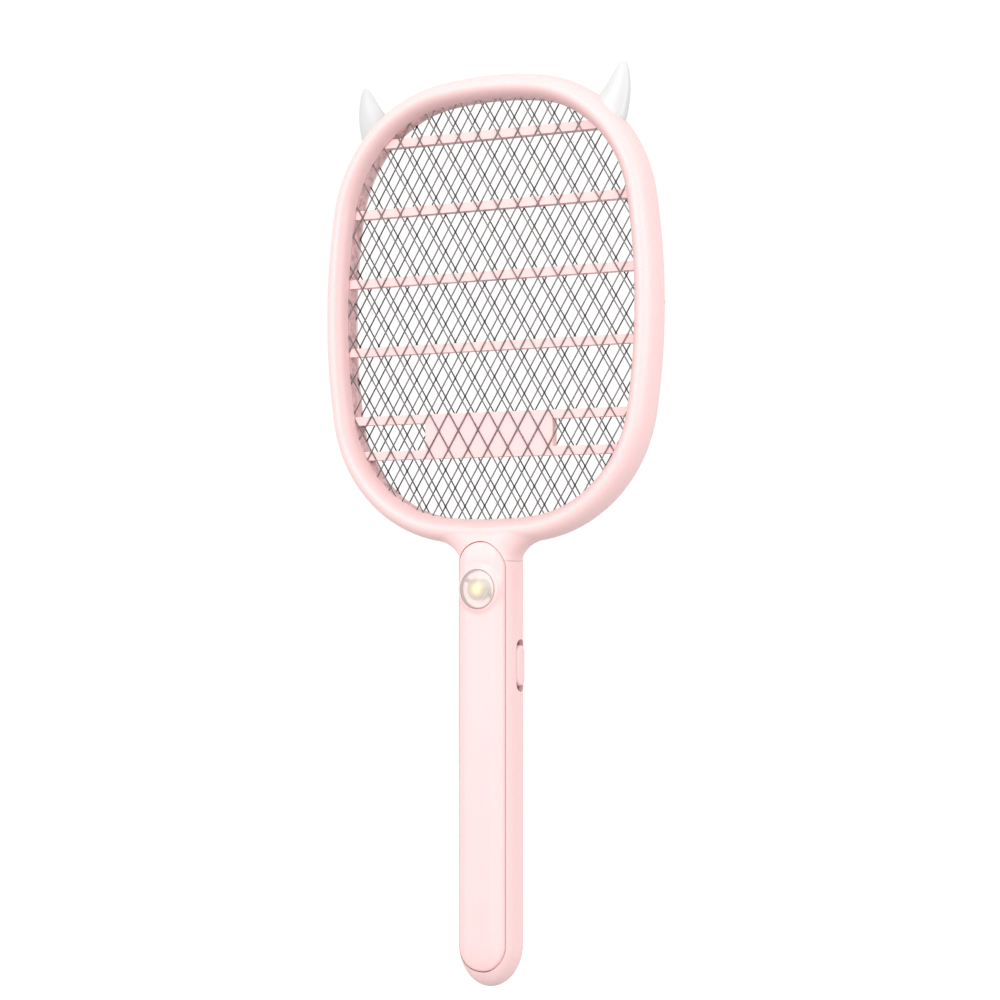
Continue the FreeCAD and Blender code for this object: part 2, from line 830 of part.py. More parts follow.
port_hole = flat_capsule("port_hole", "4.75", "1.9", "9", "6", "dims.charger_z")
node(
    cut(
        "handle_housing",
        handle_form,
        [cavity, panel_recess, switch_slot, port_hole] + housing_screw_holes + housing_screw_sinks,
    ),
    "handle_housing",
)

# front panel: the front of the handle and neck inside the stadium, with the lamp's collar
panel_outline = panel_prism("panel_outline", "0")
panel_column = feature("panel_column", handle_solid(plain_section))
panel_region = fuse("panel_region", [panel_column, neck_form])
panel_solid = common("panel_solid", [panel_region, panel_outline])
panel_inside = handle_tube("panel_inside", "-dims.panel_wall - 0.2", "19", "225")
panel_skirts = box("panel_skirts", ("-11.7", "-20", "10"), ("23.4", "40", "220"))
panel_hollow = common("panel_hollow", [panel_inside, panel_skirts])
collar = cone(
    "collar",
    "dims.collar_back_radius",
    "dims.collar_front_radius",
    "dims.collar_back - dims.collar_front",
    ("0", "dims.collar_back", "dims.lamp_z"),
    "-Y",
)
posts = [
    cylinder(f"post_{index}", "3", "21.3", ("0", "-11.2", z), "+Y") for index, z in enumerate(POST_HEIGHTS)
]
post_holes = [
    cylinder(f"post_hole_{index}", "dims.screw_radius", "8", ("0", "3.5", z), "+Y")
    for index, z in enumerate(POST_HEIGHTS)
]
lens_seat = cylinder("lens_seat", "dims.lens_radius + 0.1", "8", ("0", "dims.lens_back", "dims.lamp_z"), "-Y")
lamp_bore = cylinder("lamp_bore", "9.7", "12", ("0", "-5", "dims.lamp_z"), "-Y")
panel_shell = cut("panel_shell", panel_solid, [panel_hollow])
panel_built = fuse("panel_built", [panel_shell, collar] + posts)
front_panel = cut("handle_front_panel", panel_built, [lens_seat, lamp_bore] + post_holes)
node(place(front_panel, ("0", "-dims.panel_proud", "0")), "handle_front_panel")

# ---------------------------------------------------------------- lamp


def turned(name, profile, y, z):
    """A body of revolution about the lamp's axis: profile points are (radius, distance forward)."""
    points = [Vector(radius, -forward, 0) for radius, forward in profile]
    face = Part.Face(Part.makePolygon(points + points[:1]))
    solid = face.revolve(Vector(), Vector(0, 1, 0), 360)
    return node(place(feature(name, solid), ("0", y, z)), name)


def dome(radius, rise, steps):
    """Points of a shallow dome from its rim to its centre."""
    sphere = (radius**2 + rise**2) / (2 * rise)
    heights = []
    for step in range(steps + 1):
        reach = radius * (1 - step / steps)
        heights.append((reach, rise - sphere + math.sqrt(sphere**2 - reach**2)))
    return heights


LENS_EDGE = 1.5
LENS_RISE = 1.2
lens_profile = [(0, 0), (dim("lens_radius"), 0)]
lens_profile += [(reach, LENS_EDGE + rise) for reach, rise in dome(dim("lens_radius"), LENS_RISE, 12)]
turned("lamp_lens", lens_profile, "dims.lens_back - dims.panel_proud", "dims.lamp_z")
reflector_outside = [(5.4, 0), (6.2, 0), (7.6, 1.0), (8.8, 2.4), (9.5, 4.2)]
reflector_inside = [(8.9, 4.2), (8.1, 2.8), (6.9, 1.5), (5.4, 0.8)]
turned("lamp_reflector", reflector_outside + reflector_inside, "-8.45", "dims.lamp_z")
bulb_profile = [(0, 0), (5.2, 0), (5.2, 0.8)]
bulb_profile += [(reach, 0.8 + rise) for reach, rise in dome(4.9, 2.6, 10)]
turned("lamp_bulb", bulb_profile, "-8.45", "dims.lamp_z")
node(cylinder("lamp_chip", "2.8", "0.7", ("0", "-7.7", "dims.lamp_z"), "-Y"), "lamp_chip")
node(cylinder("lamp_board", "9", "1.2", ("0", "-6.5", "dims.lamp_z"), "-Y"), "lamp_board")

# ---------------------------------------------------------------- slide switch

knob_outside = handle_tube("knob_outside", "dims.knob_proud", "140", "200")
knob_inside = handle_tube("knob_inside", "-dims.handle_wall - dims.slide_clearance", "139", "201")
knob_prism = side_capsule("knob_prism", "dims.knob_length", "dims.knob_width", "8", "20")
knob_ring = cut("knob_ring", knob_outside, [knob_inside])
knob_block = common("knob_block", [knob_ring, knob_prism])
knob = doc.addObject("Part::Fillet", "switch_knob")
knob.Base = knob_block
doc.recompute()
KNOB_EDGE_RADIUS = 0.7
outer_edges = []
for index, edge in enumerate(knob_block.Shape.Edges, start=1):
    middle = edge.valueAt((edge.FirstParameter + edge.LastParameter) / 2)
    if edge.Length > 2 and middle.x > dim("handle_width") / 2 - 1.2:
        outer_edges.append((index, KNOB_EDGE_RADIUS, KNOB_EDGE_RADIUS))
knob.Edges = outer_edges
node(knob, "switch_knob")

PLATE_HALF_LENGTH = 17.1
plate_outside = handle_tube(
    "plate_outside",
    "-dims.handle_wall - dims.slide_clearance",
    f"dims.switch_z - {PLATE_HALF_LENGTH}",
    f"dims.switch_z + {PLATE_HALF_LENGTH}",
)
plate_inside = handle_tube("plate_inside", "-dims.handle_wall - dims.slide_clearance - 1", "140", "200")
plate_ring = cut("plate_ring", plate_outside, [plate_inside])
plate_region = box("plate_region", ("9", "-2.6", "140"), ("8", "11.6", "60"))
node(common("switch_slide_plate", [plate_ring, plate_region]), "switch_slide_plate")
LEVER = "2.2"
LEVER_START = "5"
LEVER_END = "(dims.handle_width / 2 - dims.handle_wall - dims.slide_clearance - 1.15)"
node(
    middle_box(
        "switch_lever",
        (f"({LEVER_START} + {LEVER_END}) / 2", "dims.switch_y", "dims.switch_z"),
        (f"{LEVER_END} - {LEVER_START}", LEVER, LEVER),
    ),
    "switch_lever",
)
switch_block = middle_box("switch_block", ("5.5", "dims.switch_y", "dims.switch_z"), ("5", "5.4", "16"))
lever_room = middle_box(
    "lever_room",
    ("7", "dims.switch_y", "dims.switch_z"),
    ("5.4", f"{LEVER} + 0.6", f"{LEVER} + 2 * dims.switch_travel + 0.6"),
)
node(cut("switch_body", switch_block, [lever_room]), "switch_body")

# ---------------------------------------------------------------- main board and its parts

board = box(
    "board_blank",
    ("-dims.board_width / 2", "dims.board_back", "dims.board_bottom"),
    ("dims.board_width", "dims.board_thickness", "dims.board_top - dims.board_bottom"),
)
board_holes = [
    cylinder(f"board_hole_{index}", "0.6", "4", (x, "5", z), "+Y")
    for index, (x, z) in enumerate(((-8, 121), (-6, 121), (-8, 182), (-4, 182), (4, 182), (8, 182)))
]
node(cut("main_board", board, board_holes), "main_board")


def on_board(name, x, z, size):
    """A block standing on the front of the main board."""
    low = (f"{x} - {size[0]} / 2", f"dims.board_back - {size[1]}", f"{z} - {size[2]} / 2")
    return box(name, low, tuple(str(length) for length in size))


TRANSFORMER = ("0", "dims.board_back - 6.4", "129")
core_block = middle_box("core_block", TRANSFORMER, ("13", "10", "12"))
core_window = middle_box("core_window", TRANSFORMER, ("9", "13", "7"))
core_leg = middle_box("core_leg", TRANSFORMER, ("3.4", "8.4", "9"))
core_hollow = cut("core_hollow", core_block, [core_window])
node(fuse("transformer_core", [core_hollow, core_leg]), "transformer_core")
winding_block = middle_box("winding_block", TRANSFORMER, ("8.6", "12.6", "6.6"))
winding_hole = middle_box("winding_hole", TRANSFORMER, ("3.6", "8.6", "9"))
node(cut("transformer_winding", winding_block, [winding_hole]), "transformer_winding")
node(on_board("storage_capacitor", -1, 146, (15, 9, 11)), "storage_capacitor")
multiplier_capacitors = [
    on_board(f"multiplier_capacitor_{index}", x, 157, (5.2, 6, 2.6)) for index, x in enumerate((-6.6, -0.6))
]
node(group("multiplier_capacitors", multiplier_capacitors), "multiplier_capacitors")
diodes = [
    cylinder(f"diode_{index}", "1.25", "4.5", (x, "dims.board_back - 1.25", "161.5"))
    for index, x in enumerate((-8.4, -5.6, -2.8))
]
node(group("multiplier_diodes", diodes), "multiplier_diodes")
resistors = [
    cylinder(f"resistor_{index}", "1.1", "6", (x, "dims.board_back - 1.1", "168.5"))
    for index, x in enumerate((-8.4, -5.6, -2.8))
]
node(group("bleed_resistors", resistors), "bleed_resistors")
can = cylinder("transistor_round", "2.4", "4.8", ("-7", "dims.board_back - 2.4", "176"))
can_flat = box("transistor_flat", ("-10", "dims.board_back - 5.5", "175"), ("6", "2", "7"))
node(cut("drive_transistor", can, [can_flat]), "drive_transistor")
node(on_board("charge_controller", 1, 179, (4, 1.6, 5)), "charge_controller")

# ---------------------------------------------------------------- battery and charging port

battery_cell = cylinder(
    "battery_cell",
    "dims.battery_radius",
    "dims.battery_length",
    level("dims.battery_bottom"),
)
node(battery_cell, "battery_cell")
tabs = [
    box("battery_tab_bottom", ("-3", "-3", "dims.battery_bottom - 0.3"), ("6", "9", "0.3")),
    box("battery_tab_top", ("-3", "-3", "dims.battery_bottom + dims.battery_length"), ("6", "9", "0.3")),
]
node(group("battery_tabs", tabs), "battery_tabs")
node(box("charging_board", ("-9", "4", "18"), ("18", "1.2", "16")), "charging_board")
port_shell = flat_capsule("port_shell", "4.5", "1.65", "5.2", "7.6", "dims.charger_z")
port_mouth = flat_capsule("port_mouth", "4.2", "1.35", "6.5", "7", "dims.charger_z")
port_tongue = middle_box("port_tongue", ("0", "9", "dims.charger_z"), ("6.4", "5.4", "0.7"))
port_hollow = cut("port_hollow", port_shell, [port_mouth])
node(fuse("charging_port", [port_hollow, port_tongue]), "charging_port")

screw_group("handle_screws", HANDLE_SCREWS, 11.6, 7.6)

# ---------------------------------------------------------------- grid tabs and leads

TAB_X = 5.0
TAB_SIZE = ("4", "0.5", "dims.window_bottom - dims.grid_edge - 229")
FRONT_TAB = (-TAB_X - 2, "-dims.grid_gap / 2 - dims.grid_thickness", "229")
REAR_TAB = (TAB_X - 2, "dims.grid_gap / 2", "229")
node(box("front_grid_tab", FRONT_TAB, TAB_SIZE), "front_grid_tab")
node(box("rear_grid_tab", REAR_TAB, TAB_SIZE), "rear_grid_tab")


def bent_wire(points, radius):
    """A round wire along straight runs joined by tangent arcs as large as the runs allow."""
    corners = [Vector(*point) for point in points]
    edges = []
    last = corners[0]
    for before, corner, after in zip(corners, corners[1:], corners[2:]):
        inward = (before - corner).normalize()
        outward = (after - corner).normalize()
        turn = math.pi - inward.getAngle(outward)
        shorter = min((before - corner).Length, (after - corner).Length)
        setback = 0.45 * shorter
        bend = setback / math.tan(turn / 2)
        start = corner + inward * setback
        finish = corner + outward * setback
        bisector = (inward + outward).normalize()
        middle = corner + bisector * (bend / math.cos(turn / 2) - bend)
        edges.append(Part.makeLine(last, start))
        edges.append(Part.Arc(start, middle, finish).toShape())
        last = finish
    edges.append(Part.makeLine(last, corners[-1]))
    path = Part.Wire(edges)
    ring = Part.Wire(Part.makeCircle(radius, corners[0], corners[1] - corners[0]))
    return path.makePipeShell([ring], True, True)


# every lead: its radius, and the route of each of its wires
LEADS = {
    "front_grid_lead": (
        0.6,
        [[(-4, 5.5, 183), (-4, 3.6, 191), (-4.6, -0.6, 201), (-5, -2.7, 214), (-5, -2.7, 232)]],
    ),
    "rear_grid_lead": (
        0.6,
        [
            [
                (4, 5.5, 183),
                (4, 3.6, 191),
                (4.6, 1, 201),
                (5, 0.6, 214),
                (5, 1.2, 224),
                (5, 1.5, 227),
                (5, 2.6, 230.5),
                (5, 2.6, 233.5),
            ]
        ],
    ),
    "battery_lead_positive": (0.7, [[(-1, 3, 110), (-6, 3.2, 110.4), (-7.2, 4.4, 114.5), (-6, 5.4, 121)]]),
    "battery_lead_negative": (
        0.7,
        [
            [
                (0, 5, 42.9),
                (-9, 6.6, 42.6),
                (-10.9, 6.3, 50),
                (-10.9, 6.2, 80),
                (-10.8, 6.3, 110),
                (-8.4, 5.4, 118.4),
                (-8, 5.4, 122),
            ]
        ],
    ),
    "lamp_leads": (
        0.5,
        [
            [(7.6, 5.6, 183), (7.6, 2.4, 190), (6.6, -2.6, 197), (5, -6, 203)],
            [(-7.6, 5.6, 183), (-7.6, 2.4, 190), (-6.6, -2.6, 197), (-5, -6, 203)],
        ],
    ),
    "charging_leads": (
        0.6,
        [
            [
                (7.5, 3.3, 31),
                (8.5, 3.3, 36.5),
                (10.8, 5, 43),
                (10.9, 6, 50),
                (11, 5.9, 80),
                (10.9, 6, 110),
                (8, 5.4, 121),
            ],
            [
                (4.5, 3.3, 31),
                (5.5, 3.3, 36.5),
                (9.8, 6.2, 43.5),
                (10.3, 7.5, 50),
                (10.4, 7.4, 80),
                (10.3, 7.5, 108),
                (6.6, 5.3, 117.4),
                (5.5, 5.3, 121),
            ],
        ],
    ),
}
for lead_name, (lead_radius, routes) in LEADS.items():
    wires = [bent_wire(route, lead_radius) for route in routes]
    node(feature(lead_name, Part.makeCompound(wires)), lead_name)

# ---------------------------------------------------------------- check and write

doc.recompute()
for obj in doc.Objects:
    if "Invalid" in obj.State or "Error" in obj.State:
        raise RuntimeError(f"{obj.Name} failed: {obj.State}")
for obj in NODES:
    if obj.Shape.isNull() or not obj.Shape.isValid() or not obj.Shape.Solids:
        raise RuntimeError(f"{obj.Label} has no valid solid")

os.makedirs("parts", exist_ok=True)
for obj in NODES:
    obj.Shape.exportStep(os.path.join("parts", f"{obj.Label}.step"))
    print(obj.Label, len(obj.Shape.Solids), round(obj.Shape.Volume))
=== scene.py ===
"""Looks of an electric fly swatter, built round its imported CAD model.

The moulded plastic pieces are made from smooth fields in millimetres: each is meshed on the field's
zero level, then cut with plain tools. Frame: +Z up the handle, +X to the right, the front faces -Y.
"""
import bmesh
import bpy
import math
import numpy as np
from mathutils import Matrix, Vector


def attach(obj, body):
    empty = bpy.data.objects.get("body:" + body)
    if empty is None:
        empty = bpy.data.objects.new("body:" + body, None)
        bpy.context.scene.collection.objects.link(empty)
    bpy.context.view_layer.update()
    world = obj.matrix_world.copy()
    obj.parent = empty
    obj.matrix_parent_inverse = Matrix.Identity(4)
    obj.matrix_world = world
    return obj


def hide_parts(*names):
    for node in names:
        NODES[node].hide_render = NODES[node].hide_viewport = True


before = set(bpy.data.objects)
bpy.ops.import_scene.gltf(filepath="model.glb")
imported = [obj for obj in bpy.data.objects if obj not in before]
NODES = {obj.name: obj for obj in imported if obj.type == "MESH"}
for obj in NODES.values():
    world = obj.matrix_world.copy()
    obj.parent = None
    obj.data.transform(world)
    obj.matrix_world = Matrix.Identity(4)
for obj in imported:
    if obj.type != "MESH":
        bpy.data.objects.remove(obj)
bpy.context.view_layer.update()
BODY, SLIDE = "swatter", "slide_switch"
MM = 0.001

# ---------------------------------------------------------------- sizes, in millimetres

TOP = 480.0  # the horns' tips

# the window: its extremes, the arcs of its sides and the arcs of its corners
WINDOW_TOP, WINDOW_BOTTOM, WINDOW_HALF_WIDTH = 465.7, 245.3, 86.9
WINDOW_WIDEST, WINDOW_MIDDLE = 354.9, 352.0
TOP_ARC, BOTTOM_ARC, SIDE_ARC = 201.6, 283.8, 351.9
UPPER_CORNER, LOWER_CORNER = 64.9, 64.3

# the rim round it, and the plane where its front and rear halves meet
RIM_HALF_WIDTH, RIM_HALF_DEPTH = 6.7, 11.0
PARTING, PARTING_GAP = 7.4, 0.12
GRID_FACE, SEAT_MARGIN, FLANGE_MARGIN, FLANGE_BACK = 3.85, 5.0, 4.85, 9
FILLET, FILLET_STRETCH, FILLET_POWER, LEAST_FILLET = 9.4, 1.4, 1.6, 0.12

# the handle: half width, half depth and corner radius of its section, and its rounded end
HANDLE = (16.0, 13.0, 9.5)
END, WALL, CAVITY_BOTTOM = 22.5, 2.4, 15
SEAM, SEAM_GAP, NECK_TOP, NECK_HALF_DEPTH = 222.9, 0.15, 239.6, 10.5
HEAD_FROM, HANDLE_TO = 221, 224.5  # both are meshed a little past the seam and cut there

# the front panel with the collar round its lamp
PANEL = {"half_width": 13.85, "bottom": 8.6, "top": 232.9, "gap": 0.35, "back": -6.2, "proud": 0.25}
COLLAR = {"radius": 11.5, "face": -14.45, "back": -9.0, "slope": 0.4375, "cosine": 0.916}
SKIRT_HALF_WIDTH, SKIRT_INSET, SKIRT_BOTTOM, SKIRT_TOP = 11.7, 2.45, 19, 225

# the lamp: its height, and the planes where the lens and the bowl sit
LAMP_Z, LENS_SEAT, BOWL_SEAT = 208.1, -12.85, -8.45
LENS_RADIUS, LENS_GAP, LAMP_BORE = 10.4, 0.12, 9.7
BOWL_RADIUS, BOWL_CURVE = 5.5, 1.6
BULB_RADIUS, CHIP_REACH = 5.3, 2.8

# the switch
SWITCH_Y, SWITCH_Z = 3.5, 168.15
KNOB_HALF_WIDTH, KNOB_HALF_LENGTH, KNOB_PROUD, KNOB_INSET = 4.4, 10.7, 0.95, 0.3
SLOT_HALF_WIDTH, SLOT_HALF_LENGTH, SLOT_INSIDE = 4.7, 13.75, 8

# the charging port and the screws
PORT_Z, PORT_HALF_HEIGHT, PORT_HALF_WIDTH, PORT_INSIDE = 26.0, 1.9, 4.75, 9
SINK_RADIUS, HEAD_SINK_BOTTOM, HANDLE_SINK_BOTTOM, HEAD_SCREW_OUT = 2.65, 8.4, 11.6, 8.5
HEAD_SCREW_SHARES = ((1, 0.55), (2, 0.5), (3, 0.25), (4, 0.45))
HANDLE_SCREWS = ((0.0, 39.0), (0.0, 114.2), (0.0, 189.5), (-6.0, 213.0), (6.0, 213.0))

OUTSIDE = 20  # past every surface at the back of the object
TINY = 1e-9


def window_arcs():
    """The right half of the window's outline from the bottom up: centre, radius, start, end."""
    top = (0.0, WINDOW_TOP - TOP_ARC, TOP_ARC)
    bottom = (0.0, WINDOW_BOTTOM + BOTTOM_ARC, BOTTOM_ARC)
    side = (WINDOW_HALF_WIDTH - SIDE_ARC, WINDOW_WIDEST, SIDE_ARC)

    def corner(other, radius):
        """The arc of a radius that touches the side arc and another one from inside."""
        reach_side, reach_other = side[2] - radius, other[2] - radius
        dx, dz = other[0] - side[0], other[1] - side[1]
        gap = math.hypot(dx, dz)
        along = (reach_side**2 - reach_other**2 + gap**2) / (2 * gap)
        aside = math.sqrt(reach_side**2 - along**2)
        foot = (side[0] + along * dx / gap, side[1] + along * dz / gap)
        return max((foot[0] + s * aside * dz / gap, foot[1] - s * aside * dx / gap, radius) for s in (1, -1))

    def heading(start, end):
        """The direction from one centre to another, where two arcs touch."""
        return math.atan2(end[1] - start[1], end[0] - start[0])

    upper, lower = corner(top, UPPER_CORNER), corner(bottom, LOWER_CORNER)
    turns = (
        -math.pi / 2,
        heading(bottom, lower),
        heading(side, lower),
        heading(side, upper),
        heading(top, upper),
        math.pi / 2,
    )
    circles = (bottom, lower, side, upper, top)
    return [(*circle, turns[i], turns[i + 1]) for i, circle in enumerate(circles)]


ARCS = window_arcs()


# ---------------------------------------------------------------- fields

def soft_min(a, b, k):
    """The smaller of two fields, rounded where they meet."""
    h = np.clip(k - np.abs(a - b), 0, None) / k
    return np.minimum(a, b) - h * h * k / 4


def soft_max(a, b, k):
    """The larger of two fields, rounded where they meet."""
    return -soft_min(-a, -b, k)


def window_offset(x, z):
    """Distance outside the window's outline, negative inside it."""
    deep_inside = -90.0
    ax = np.abs(x)
    best = np.full(ax.shape, deep_inside)
    for cx, cz, radius, start, end in ARCS:
        angle = np.arctan2(z - cz, ax - cx)
        held = (angle >= start - 1e-6) & (angle <= end + 1e-6)
        best = np.where(held, np.maximum(best, np.hypot(ax - cx, z - cz) - radius), best)
    return best


def rim(x, y, z):
    """The elliptical tube round the window."""
    u = window_offset(x, z) - RIM_HALF_WIDTH
    near = np.hypot(u / RIM_HALF_WIDTH, y / RIM_HALF_DEPTH) + TINY
    slope = np.hypot(u / RIM_HALF_WIDTH**2, y / RIM_HALF_DEPTH**2) + TINY
    return near * (near - 1) / slope


def gauge(x, y, a, b, r):
    """How far a point is out, counted in sizes of a rounded rectangle."""
    ax, ay = np.abs(x), np.abs(y)
    cx, cy = a - r, b - r
    square = ax * ax + ay * ay
    dot = ax * cx + ay * cy
    under = np.clip(dot * dot - (cx * cx + cy * cy - r * r) * square, 0, None)
    bend = square / (dot + np.sqrt(under) + TINY)
    flat = np.where(ay * a <= cy * ax, ax / a, bend)
    return np.where(ax * b <= cx * ay, ay / b, flat)


def column_gauge(x, y, z):
    """The handle with its rounded end, running on into the neck, as a gauge."""
    share = np.clip((z - SEAM) / (NECK_TOP - SEAM), 0, 1)
    ease = share * share * (3 - 2 * share)
    b = HANDLE[1] + (NECK_HALF_DEPTH - HANDLE[1]) * ease
    section = gauge(x, y, HANDLE[0], b, HANDLE[2])
    low = np.clip((END - z) / END, 0, None)
    return np.hypot(section, low)


def column(x, y, z):
    """The same, as a distance."""
    h, least_slope = 0.02, 0.012
    here = column_gauge(x, y, z)
    dx = (column_gauge(x + h, y, z) - here) / h
    dy = (column_gauge(x, y + h, z) - here) / h
    dz = (column_gauge(x, y, z + h) - here) / h
    return (here - 1) / np.maximum(np.sqrt(dx * dx + dy * dy + dz * dz), least_slope)


def head(x, y, z):
    """Rim and neck, with a wide fillet where they meet at right angles and hardly any elsewhere."""
    to_rim = rim(x, y, z)
    to_neck = np.maximum(column(x, y, z), z - NECK_TOP)
    u = window_offset(x, z) - RIM_HALF_WIDTH
    forward = np.abs(y) / RIM_HALF_DEPTH**2
    forward = forward / (np.hypot(u / RIM_HALF_WIDTH**2, forward) + TINY)
    corner_x = np.clip(np.abs(x) - (HANDLE[0] - HANDLE[2]), 0, None)
    corner_y = np.clip(np.abs(y) - (HANDLE[1] - HANDLE[2]), 0, None)
    facing = corner_y / (np.hypot(corner_x, corner_y) + TINY)
    turn = (1 - forward * facing) * np.clip((u + 1) / 3, 0, 1)
    rise = FILLET * np.clip(turn, LEAST_FILLET, 1)
    width = rise * (1 + (FILLET_STRETCH - 1) * turn)
    near = np.clip(1 - to_rim / rise, 0, None) ** FILLET_POWER
    near += np.clip(1 - to_neck / width, 0, None) ** FILLET_POWER
    return (1 - near ** (1 / FILLET_POWER)) * (rise + width) / 2


def skin(x, y, z):
    """The outside of head and handle."""
    return np.where(z > SEAM, head(x, y, z), column(x, y, z))


def stadium(x, z, half_width, bottom, top):
    """Distance outside an upright stadium."""
    inner = np.clip(z, bottom + half_width, top - half_width)
    return np.hypot(x, z - inner) - half_width


def panel_field(x, y, z):
    """The front panel with rounded edges and the lamp's collar flowing out of it."""
    radial = np.hypot(x, z - LAMP_Z)
    cone = (radial - COLLAR["radius"] - (y - COLLAR["face"]) * COLLAR["slope"]) * COLLAR["cosine"]
    collar = soft_max(soft_max(cone, COLLAR["face"] - y, 1.3), y - COLLAR["back"], 0.5)
    shell = skin(x, y, z) - PANEL["proud"]
    raised = soft_min(shell, collar, 1.6)
    edge = stadium(x, z, PANEL["half_width"], PANEL["bottom"], PANEL["top"])
    return np.maximum(soft_max(raised, edge, 1.5), y - PANEL["back"])


def knob_field(x, y, z):
    """The slide switch's knob: the handle's own curve raised a little, with soft edges."""
    low, high = SWITCH_Z - KNOB_HALF_LENGTH, SWITCH_Z + KNOB_HALF_LENGTH
    outline = stadium(y - SWITCH_Y, z, KNOB_HALF_WIDTH, low, high)
    body = column(x, y, z)
    return np.maximum(soft_max(body - KNOB_PROUD, outline, 1.9), -(body + WALL + KNOB_INSET))


# ---------------------------------------------------------------- meshes

def new_object(name, points, faces, smooth=True):
    """An object from points in millimetres and faces, its faces turned outwards."""
    mesh = bpy.data.meshes.new(name)
    mesh.from_pydata([tuple(p) for p in np.asarray(points) * MM], [], faces)
    mesh.validate()
    solid = bmesh.new()
    solid.from_mesh(mesh)
    if solid.calc_volume(signed=True) < 0:
        bmesh.ops.reverse_faces(solid, faces=solid.faces)
        solid.to_mesh(mesh)
    solid.free()
    if smooth:
        mesh.shade_smooth()
    obj = bpy.data.objects.new(name, mesh)
    bpy.context.scene.collection.objects.link(obj)
    return obj


def settle(points, field, step, rounds=5):
    """Move points onto a field's zero level, in moves that are short beside the mesh's step."""
    h, least_slope, longest = 0.01, 0.04, 0.4 * step
    for _ in range(rounds):
        x, y, z = points.T
        value = field(x, y, z)
        slope = np.stack(
            (
                field(x + h, y, z) - field(x - h, y, z),
                field(x, y + h, z) - field(x, y - h, z),
                field(x, y, z + h) - field(x, y, z - h),
            ),
            axis=1,
        ) / (2 * h)
        length = np.maximum((slope * slope).sum(1), least_slope)
        move = -(value / length)[:, None] * slope
        far = np.maximum(np.linalg.norm(move, axis=1) / longest, 1.0)
        points = points + move / far[:, None]
    return points


def net(name, field, low, high, step):
    """A closed quad mesh on the zero level of a field, inside a box."""
    low = np.array(low, float)
    axes = [np.arange(lo, hi + step, step) for lo, hi in zip(low, high)]
    value = field(*np.meshgrid(*axes, indexing="ij"))
    inside = value < 0
    wide, deep, tall = (size - 1 for size in value.shape)
    count = sum(
        inside[i : i + wide, j : j + deep, k : k + tall].astype(np.int8)
        for i in (0, 1)
        for j in (0, 1)
        for k in (0, 1)
    )
    active = (count > 0) & (count < 8)
    cells = np.argwhere(active)
    number = np.full(active.shape, -1)
    number[active] = np.arange(len(cells))
    total = np.zeros((len(cells), 3))
    hits = np.zeros(len(cells))
    for axis in range(3):
        first, second = (a for a in range(3) if a != axis)
        for da in (0, 1):
            for db in (0, 1):
                start = cells.copy()
                start[:, first] += da
                start[:, second] += db
                end = start.copy()
                end[:, axis] += 1
                at_start, at_end = value[tuple(start.T)], value[tuple(end.T)]
                hit = (at_start < 0) != (at_end < 0)
                place = start[hit].astype(float)
                place[:, axis] += at_start[hit] / (at_start[hit] - at_end[hit])
                total[hit] += place
                hits[hit] += 1
    points = settle(low + total / hits[:, None] * step, field, step)
    faces = []
    for axis in range(3):
        u, v = (axis + 1) % 3, (axis + 2) % 3
        ahead = np.take(inside, range(1, inside.shape[axis]), axis)
        behind = np.take(inside, range(inside.shape[axis] - 1), axis)
        edges = np.argwhere(ahead != behind)
        room = (edges[:, u] > 0) & (edges[:, v] > 0)
        room &= (edges[:, u] < inside.shape[u] - 1) & (edges[:, v] < inside.shape[v] - 1)
        edges = edges[room]
        back_u, back_v = np.zeros(3, int), np.zeros(3, int)
        back_u[u] = back_v[v] = 1
        around = (edges, edges - back_u, edges - back_u - back_v, edges - back_v)
        quads = np.stack([number[tuple(cell.T)] for cell in around], axis=1)
        outward = behind[tuple(edges.T)]
        quads[~outward] = quads[~outward][:, ::-1]
        faces += quads.tolist()
    return new_object(name, points, faces)


def prism(name, outline, axis, low, high):
    """A closed prism: an outline in the other two axes, drawn out along one axis (0, 1 or 2)."""
    outline = np.asarray(outline, float)
    count = len(outline)
    u, v = [(1, 2), (2, 0), (0, 1)][axis]
    points = np.zeros((2 * count, 3))
    for start, level in ((0, low), (count, high)):
        points[start : start + count, u] = outline[:, 0]
        points[start : start + count, v] = outline[:, 1]
        points[start : start + count, axis] = level
    bottom = list(range(count))
    sides = [[i, (i + 1) % count, count + (i + 1) % count, count + i] for i in range(count)]
    faces = [bottom[::-1], [count + i for i in bottom]] + sides
    return new_object(name, points, faces, smooth=False)


def block(name, low, high):
    """A box between two corners."""
    x, y = (low[0], high[0]), (low[1], high[1])
    corners = [(x[0], y[0]), (x[1], y[0]), (x[1], y[1]), (x[0], y[1])]
    return prism(name, corners, 2, low[2], high[2])


def circle(u, v, radius, count):
    """Points round a circle."""
    turns = np.linspace(0, 2 * math.pi, count, endpoint=False)
    return np.stack((u + radius * np.cos(turns), v + radius * np.sin(turns)), axis=1)


def window_outline(offset, steps=90):
    """Points (z, x) along the window's outline at an offset outside it."""
    right = []
    for cx, cz, radius, start, end in ARCS:
        count = max(3, int(steps * (end - start)))
        reach = radius + offset
        for turn in np.linspace(start, end, count, endpoint=False):
            right.append((cz + reach * math.sin(turn), cx + reach * math.cos(turn)))
    right.append((ARCS[-1][1] + ARCS[-1][2] + offset, 0.0))
    left = [(z, -x) for z, x in reversed(right[1:-1])]
    return right + left


def stadium_outline(half_width, bottom, top, middle=0.0, steps=32):
    """Points (z, across) of a stadium whose long axis is up."""
    points = []
    for centre, start in ((top - half_width, -math.pi / 2), (bottom + half_width, math.pi / 2)):
        for turn in np.linspace(start, start + math.pi, steps):
            points.append((centre + half_width * math.cos(turn), middle + half_width * math.sin(turn)))
    return points


